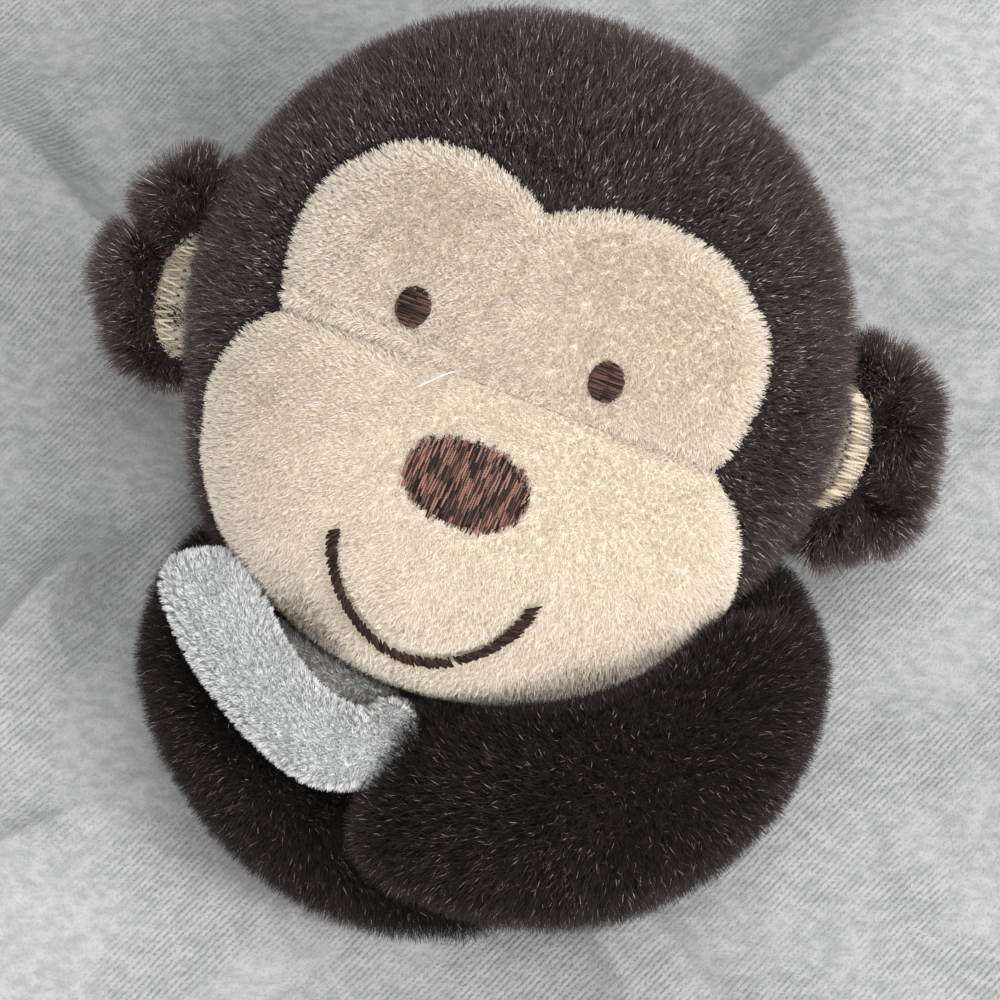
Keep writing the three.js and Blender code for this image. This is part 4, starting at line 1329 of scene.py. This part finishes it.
def make_lining(side, turned, seed):
    """The pale crescent in the ear."""
    rows, across = 44, 12
    at = LINING_AT[side]
    y = at + np.linspace(-LINING_REACH, LINING_REACH, rows)
    outer = lining_edge(y, at)
    inner = np.minimum(np.sqrt(LINING_INNER**2 - y**2), outer - 0.2)
    x = inner[:, None] + np.linspace(0, 1, across) * (outer - inner)[:, None]
    y = y[:, None] * np.ones(across)
    points = np.stack([x, y, ear_top(x, y, at) + LINING_LIFT], -1).reshape(-1, 3)
    faces = grid_faces(rows, across, closed=False, hub=False)
    lining = mesh_of(side + "_ear_lining_skin", on_ear(points, turned), faces, TAN_BACK)
    set_along(lining, HEAD_TURN[:, 2])
    comb = on_ear(np.array([[1.0, -0.4, 0.0]]), turned) - on_ear(np.zeros((1, 3)), turned)
    combable(lining, np.repeat(comb, len(points), 0))
    nap = pile(side + "_ear_lining_nap", lining, LINING_HAIRS, LINING_NAP, TAN_NAP, seed)
    dress(thickened(lining, PANEL_BACKING), nap, side + "_ear", "tan_plush", side + "_ear_lining")


def make_zigzag(side, turned, seed):
    """The stitches along the lining's edge, and the wisps of fur that they catch."""
    body = side + "_ear"
    rng = np.random.default_rng(seed)
    at = LINING_AT[side]
    step = np.arange(-ZIGZAG_REACH, ZIGZAG_REACH, ZIGZAG_STEP[side])
    edge = lining_edge(at + step, at)
    from_in = np.maximum(edge - ZIGZAG_DEEP, np.sqrt(ZIGZAG_INNER**2 - (at + step) ** 2))
    rows = []
    for i in range(len(step) - 1):
        a = (edge[i] - 0.1, at + step[i] + rng.normal(0, 0.1))
        b = (from_in[i] + rng.normal(0, 0.2), at + (step[i] + step[i + 1]) / 2)
        c = (edge[i + 1] - 0.1, at + step[i + 1])
        rows += [(a, b), (b, c)]
    spots = np.array(rows)
    high = ear_top(spots[..., 0], spots[..., 1], at) + ZIGZAG_LIFT
    starts, ends = np.concatenate([spots, high[..., None]], -1).swapaxes(0, 1)
    ups = np.tile(HEAD_TURN[:, 2], (len(rows), 1))
    lines = (on_ear(starts, turned), on_ear(ends, turned), ups)
    zigzag = stitched(side + "_ear_zigzag", *lines, ZIGZAG_THICK, CREAM_THREAD, seed)
    belongs(zigzag, body, "tan_plush")
    caught = ends[::2]
    roots = on_ear(caught - (0.4, 0.0, 0.15), turned)
    tips = on_ear(caught + (1.3, 0.1, -0.1), turned)
    # The wisps use the darker copy of the fur: painted shade.
    wisps = stitched(side + "_ear_wisps", roots, tips, ups[: len(caught)], WISP_THICK, SHADED_HAIR, seed)
    belongs(wisps, body, "brown_fur")


# Arms and paws


COVER_PRESSURE = 3.0
# How far the arms and what fills them keep off the muzzle's edge
ARM_ROOM = 0.4
FILLING_ROOM = 5.0


def arm_comb(points, ups, heading):
    """The fur lies along the arm, round the hug's circle, towards the wrist."""
    out = np.concatenate([unit(points[:, :2] - HUG_CENTRE), np.zeros((len(points), 1))], -1)
    along = np.stack([-out[:, 1], out[:, 0], np.zeros(len(out))], -1) * heading
    return laid_on(0.8 * along + 0.25 * out + 0.3 * waves(points, 13, 51), ups)


def off_muzzle(points, room):
    """Draws points in front of the chin's edge back from it, so that the muzzle lies over the arms."""
    local = to_head(points)
    share = muzzle_share(local)
    wanted = 1 + room / CHEEK[0]
    push = np.where((local[:, 2] > -12) & (share < wanted), wanted / np.maximum(share, 0.3), 1)
    low = smooth(-local[:, 1], -CHEEK[1] - 6, -CHEEK[1] + 4)
    push = 1 + (push - 1) * low
    local[:, 0] = MUZZLE_ASIDE + (local[:, 0] - MUZZLE_ASIDE) * push
    local[:, 1] = CHEEK[1] + (local[:, 1] - CHEEK[1]) * push
    return from_head(local)


def away_from_chin(points, ups):
    """Directions along the arm's surface that lead out from the middle of the chin's curve."""
    local = to_head(points)
    flat = np.column_stack([local[:, 0], local[:, 1] - CHEEK[1], np.zeros(len(local))])
    return unit(laid_on(unit(flat) @ HEAD_TURN.T, ups))


def make_arm(side, heading, seed):
    body = side + "_arm"
    skin = soft_copy(side + "_arm_skin", side + "_arm_stuffing", 2.0, 6, FUR_BACK)
    swollen(skin, 1.2)
    puffed(skin, COVER_PRESSURE, 0.6)
    points = off_muzzle(places(skin), ARM_ROOM)
    place(skin, points)
    ups = outward(skin)
    by_table = smooth(points[:, 2], TABLE + 2.4, TABLE + 6)
    by_head = smooth(head_depth(to_head(points)), 0.5, 2.5)
    by_chin = smooth(muzzle_share(to_head(points)), 1.05, 1.18)
    reach = 0.7 + 0.3 * np.minimum(by_head * by_chin, by_table)
    comb = arm_comb(points, ups, heading) * by_chin[:, None]
    comb += 1.2 * away_from_chin(points, ups) * (1 - by_chin)[:, None]
    combable(skin, comb, 0.35 + 0.65 * np.minimum(by_head, by_table), reach)
    # The arms' fur uses the darker copy of the head's fur: painted shade.
    fur = pile(side + "_arm_pile", skin, ARM_HAIRS, ARM_FUR, SHADED_HAIR, seed)
    dress(skin, fur, body, "brown_fur", side + "_arm_fur")
    filling = make_filling(side + "_arm_filling", side + "_arm_stuffing", body, 1.0)
    place(filling, off_muzzle(places(filling), FILLING_ROOM))


# The right paw: its ridge from wrist to tip, a lower shelf beside the chin, and a roll at the wrist
PAW_LINE = [
    (-14.6, -33.8, 36.8),
    (-18.4, -37.6, 38.2),
    (-25.4, -37.6, 39.8),
    (-32.8, -31.8, 40.6),
    (-39.2, -23.0, 41.0),
    (-42.8, -14.6, 41.0),
    (-43.2, -9.2, 40.6),
]
PAW_HALF_WIDE = 6.6
PAW_HALF_THICK = 4.3
PAW_TIP_FROM = 0.84
PAW_OFF_HEAD = 1.3
PAW_STEPS = 56
PAW_SIDES = 44
PAW_SHELF = ((-25.0, -26.0, 31.4), -44, (14.0, 5.0, 4.0))
PAW_ROLL = ((-15.6, -35.6, 36.2), 76, (4.6, 2.6, 3.8))


def through(points, count):
    """A smooth line through points, by shares of their number."""
    row = np.asarray(points, float)
    row = np.vstack([2 * row[0] - row[1], row, 2 * row[-1] - row[-2]])
    t = np.linspace(0, len(points) - 1, count)
    i = np.minimum(t.astype(int), len(points) - 2)
    u = (t - i)[:, None]
    a, b, c, d = row[i], row[i + 1], row[i + 2], row[i + 3]
    return 0.5 * (2 * b + (c - a) * u + (2 * a - 5 * b + 4 * c - d) * u**2 + (3 * b - a - 3 * c + d) * u**3)


def round_form(middle, heading, half, around=28, rows=18):
    """An egg shape lying along a heading: its points and faces."""
    points = (unit_ball(around, rows) * half) @ turn("Z", heading).T
    return np.array(middle) + points, capped_faces(rows, around)


def paw_ridge(line, along):
    """The paw's long ridge round its line, wide at its tip and narrow at the wrist: its points and faces."""
    share = np.linspace(0, 1, len(line))
    side = unit(np.cross(np.array([0, 0, 1.0]), along))
    over = np.cross(along, side)
    to_tip = np.clip((share - PAW_TIP_FROM) / (1 - PAW_TIP_FROM), 0, 1)
    tip = np.sqrt(np.clip(1 - to_tip**2.6, 0.002, 1))
    wrist = 0.6 + 0.3 * smooth(share, 0, 0.35) + 0.14 * smooth(share, 0.5, 0.85)
    wide = PAW_HALF_WIDE * tip * wrist
    thick = PAW_HALF_THICK * (0.35 + 0.65 * tip) * (1 - 0.22 * share) * np.minimum(1, tip * 1.6)
    angles = round_angles(PAW_SIDES)
    c, s = np.cos(angles), np.sin(angles)
    points = (
        line[:, None, :]
        + side[:, None, :] * (wide[:, None] * c)[..., None]
        + over[:, None, :] * (thick[:, None] * np.sign(s) * np.abs(s) ** 0.85)[..., None]
    )
    points = np.vstack([line[:1], points.reshape(-1, 3), line[-1:] + along[-1:] * 0.4])
    return points, capped_faces(len(line), PAW_SIDES)


def paw_soil_and_shade(points):
    """The paw is soiled round its roll, and low in the hollow below its ridge it is darkened by soil and
    painted shade.
    """
    rubbed_and_shaded = 0.42 * bump(np.linalg.norm(points[:, :2] - np.array(PAW_ROLL[0][:2]), axis=1), 5.0)
    # Painted shade as well as soil: the paw's lower parts, in the hollow, are darker.
    rubbed_and_shaded += 0.52 * smooth(-points[:, 2], -38.5, -35.5)
    return np.minimum(rubbed_and_shaded, 0.7)


def make_right_paw():
    line = through(PAW_LINE, PAW_STEPS)
    along = unit(np.gradient(line, axis=0))
    points, faces = paw_ridge(line, along)
    for middle, heading, half in (PAW_SHELF, PAW_ROLL):
        egg, egg_faces = round_form(middle, heading, half)
        faces += [tuple(k + len(points) for k in face) for face in egg_faces]
        points = np.vstack([points, egg])
    rough = mesh_of("right_paw_rough", points, faces, GREY_BACK)
    set_outwards(rough)
    skin = melted("right_paw_skin", rough, 0.8, 3, GREY_BACK)
    in_head = to_head(places(skin))
    buried = np.maximum(0, PAW_OFF_HEAD - head_depth(in_head))
    place(skin, from_head(in_head + head_up(in_head) * buried[:, None]))
    puffed(skin, COVER_PRESSURE, 0.4)
    points, ups = places(skin), outward(skin)
    nearest = np.linalg.norm(points[:, None, :] - line[None], axis=-1).argmin(1)
    comb = laid_on(along[nearest] + 0.5 * waves(points, 9, 61), ups)
    combable(skin, comb, 1.0, 1.0, paw_soil_and_shade(points))
    nap = pile("right_paw_nap", skin, RIGHT_PAW_HAIRS, RIGHT_PAW_NAP, GREY_NAP, 71)
    dress(skin, nap, "right_paw", "grey_plush", "right_paw_cover")
    make_filling("right_paw_filling", "right_paw_stuffing", "right_paw", 1.2)


def make_left_paw():
    skin = soft_copy("left_paw_skin", "left_paw_stuffing", 1.5, 4, GREY_BACK)
    swollen(skin, 0.5)
    points, ups = places(skin), outward(skin)
    comb = laid_on(np.array([0.9, 0.4, 0.0]) + 0.5 * waves(points, 9, 64), ups)
    combable(skin, comb, smooth(points[:, 2], TABLE + 0.6, TABLE + 2.5))
    nap = pile("left_paw_nap", skin, LEFT_PAW_HAIRS, LEFT_PAW_NAP, GREY_NAP, 72)
    dress(skin, nap, "left_arm", "grey_plush", "left_paw_cover")
    make_filling("left_paw_filling", "left_paw_stuffing", "left_arm", 1.0)


# Blanket


def ledge_height(spots, start, end, high, near, gentle):
    """Height of one ledge: it breaks off on the right of its line and falls away gently on the left."""
    start = np.array(start, float)
    along = np.array(end, float) - start
    across = spots - start
    share = np.clip(across @ along / (along @ along), 0, 1)
    across = across - share[:, None] * along
    left = along[0] * across[:, 1] - along[1] * across[:, 0] > 0
    far = np.linalg.norm(across, axis=1)
    rise = smooth(np.linalg.norm(spots, axis=1), near - LEDGE_EARLY, near - LEDGE_EARLY + LEDGE_RUN)
    slack = smooth(np.abs(spots).max(1), LEDGE_SLACK_FROM, LEDGE_SLACK_TO)
    steep = (1 - slack) * np.exp(-far / LEDGE_STEEP) + slack * bump(far, LEDGE_SLACK)
    return high * rise * np.where(left, bump(far, gentle), steep)


def side_share(angle):
    """Half the blanket's side, as a share of how far its rounded edge is in a direction."""
    c, s = np.abs(np.cos(angle)), np.abs(np.sin(angle))
    return (c**BLANKET_CORNER + s**BLANKET_CORNER) ** (1 / BLANKET_CORNER)


def blanket_height(spots):
    """Height of the folds, the ledges on them and a slight unevenness, clear of the toy."""
    angle = np.degrees(np.arctan2(spots[:, 1], spots[:, 0]))
    distance = np.hypot(spots[:, 0], spots[:, 1])
    edge = BLANKET_SIDE / 2 / side_share(np.radians(angle))
    run = np.minimum(FOLD_RUN, edge - BLANKET_FLAT_RADIUS)
    rise = smooth((distance - BLANKET_FLAT_RADIUS) / run, 0, 1)
    total = np.zeros(len(spots))
    for at, half, high in FOLDS:
        off = np.mod(angle - at + 180, 360) - 180
        total += np.where(np.abs(off) < half, high * np.cos(math.pi * off / half / 2) ** 2, 0)
    total *= rise
    wander = spots + 2.5 * waves(spots, 45, 83, 2)
    for ledge in LEDGES:
        total += ledge_height(wander, *ledge)
    free = smooth(distance, 56, 70)
    total += free * (0.25 * ripple(spots, 30, 81) + 0.15 * ripple(spots, 11, 82) + 0.3)
    return np.maximum(total, 0)


# The middle of the blanket, which has the narrow folds, gets the finer grid
FINE_SHARE = 0.5
FRONT_STEPS = 178
BACK_STEPS = 99
COARSE_STEPS = 20


def make_sheet(name, node, level, fine_steps):
    """One layer of the blanket: a square of cloth with its folds, and a thickness."""
    inner = np.linspace(-FINE_SHARE, FINE_SHARE, fine_steps)
    outer = np.linspace(FINE_SHARE, 1, COARSE_STEPS + 1)[1:]
    row = np.concatenate([-outer[::-1], inner, outer])
    count = len(row)
    i, j = (v.ravel() for v in np.meshgrid(row, row))
    angle = np.arctan2(j, i)
    rounded = np.maximum(np.abs(np.cos(angle)), np.abs(np.sin(angle))) / side_share(angle)
    ring = np.maximum(np.abs(i), np.abs(j))
    spots = np.stack([i, j], -1) * (BLANKET_SIDE / 2) * (1 - (1 - rounded) * ring**6)[:, None]
    height = blanket_height(spots)
    n = count * count
    low = np.column_stack([spots, level + height])
    top = np.column_stack([spots, level + VELOUR + height])
    cells = [k * count + m for k in range(count - 1) for m in range(count - 1)]
    faces = [(n + a, n + a + 1, n + a + 1 + count, n + a + count) for a in cells]
    faces += [(a, a + count, a + 1 + count, a + 1) for a in cells]
    edge = list(range(count)) + [k * count + count - 1 for k in range(1, count)]
    edge += [(count - 1) * count + m for m in range(count - 2, -1, -1)]
    edge += [k * count for k in range(count - 2, 0, -1)]
    for a, b in zip(edge, edge[1:] + edge[:1]):
        faces.append((a, b, n + b, n + a))
    sheet = mesh_of(name, np.vstack([low, top]), faces, VELOUR_CLOTH)
    belongs(sheet, "blanket", "grey_velour", node)
    return sheet


def make_blanket():
    front = make_sheet("blanket_front_sheet", "blanket_front", VELOUR + LAYER_GAP, FRONT_STEPS)
    back = make_sheet("blanket_back_sheet", "blanket_back", 0.0, BACK_STEPS)


# Stage, light and camera


FLOOR_HALF = 1500
FLOOR_LEVEL = -0.3
SKY = 0.46
DAYLIGHT = (1.0, 0.99, 0.975)
COOL_LIGHT = (0.98, 0.99, 1.0)
# Each lamp: its place and its width in metres, its power and its colour
LAMPS = {
    "window": ((0.76, -0.3, 0.74), 0.36, 8.8, DAYLIGHT),
    "far_window": ((-0.2, -0.8, 0.7), 0.3, 4.4, DAYLIGHT),
    "bounce": ((0.15, 0.2, 1.2), 0.9, 8.4, COOL_LIGHT),
}
# The camera, as solved from the photograph
CAMERA_UP = 78
CAMERA_VIEW = 19.9
CAMERA_FAR = 0.432
CAMERA_AIM = (0, 0, 0.035)


def make_stage():
    corners = [(-1, -1), (1, -1), (1, 1), (-1, 1)]
    points = [(FLOOR_HALF * x, FLOOR_HALF * y, FLOOR_LEVEL) for x, y in corners]
    floor = mesh_of("floor", points, [(0, 1, 2, 3)], FLOOR)
    world = bpy.data.worlds.new("studio")
    scene.world = world
    world.use_nodes = True
    sky = world.node_tree.nodes["Background"]
    sky.inputs["Color"].default_value = (1.0, 0.99, 0.97, 1)
    sky.inputs["Strength"].default_value = SKY
    for name, (spot, size, power, tint) in LAMPS.items():
        lamp = bpy.data.lights.new(name, "AREA")
        lamp.shape = "DISK"
        lamp.size = size
        lamp.energy = power
        lamp.color = tint
        light = linked(name, lamp)
        light.location = spot
        light.rotation_euler = (-Vector(spot)).to_track_quat("-Z", "Y").to_euler()
    scene.view_settings.view_transform = "Standard"


def make_camera():
    elevation = math.radians(CAMERA_UP)
    back = Vector((0, -math.cos(elevation), math.sin(elevation)))
    lens = bpy.data.cameras.new("camera")
    lens.angle = math.radians(CAMERA_VIEW)
    lens.clip_start = 0.05
    camera = linked("camera", lens)
    camera.location = Vector(CAMERA_AIM) + back * CAMERA_FAR
    camera.rotation_euler = (-back).to_track_quat("-Z", "Y").to_euler()
    scene.camera = camera


make_camera()
make_stage()
brow_line, muzzle_line = make_face()
make_head_front(brow_line, muzzle_line)
make_head_back("head_back_left", 90, 42)
make_head_back("head_back_right", -90, 43)
make_nose()
make_eye("left", EYES_AT[0], 14)
make_eye("right", EYES_AT[1], 15)
make_smile()
make_loose_thread()
make_filling("head_filling", "head_stuffing", "head", 1.3)
make_ear("right", EAR_TURN, 17)
make_ear("left", EAR_TURN + 180, 18)
make_arm("left", 1, 19)
make_arm("right", -1, 20)
make_right_paw()
make_left_paw()
make_blanket()
discard(HAIR)
discard(STITCH)
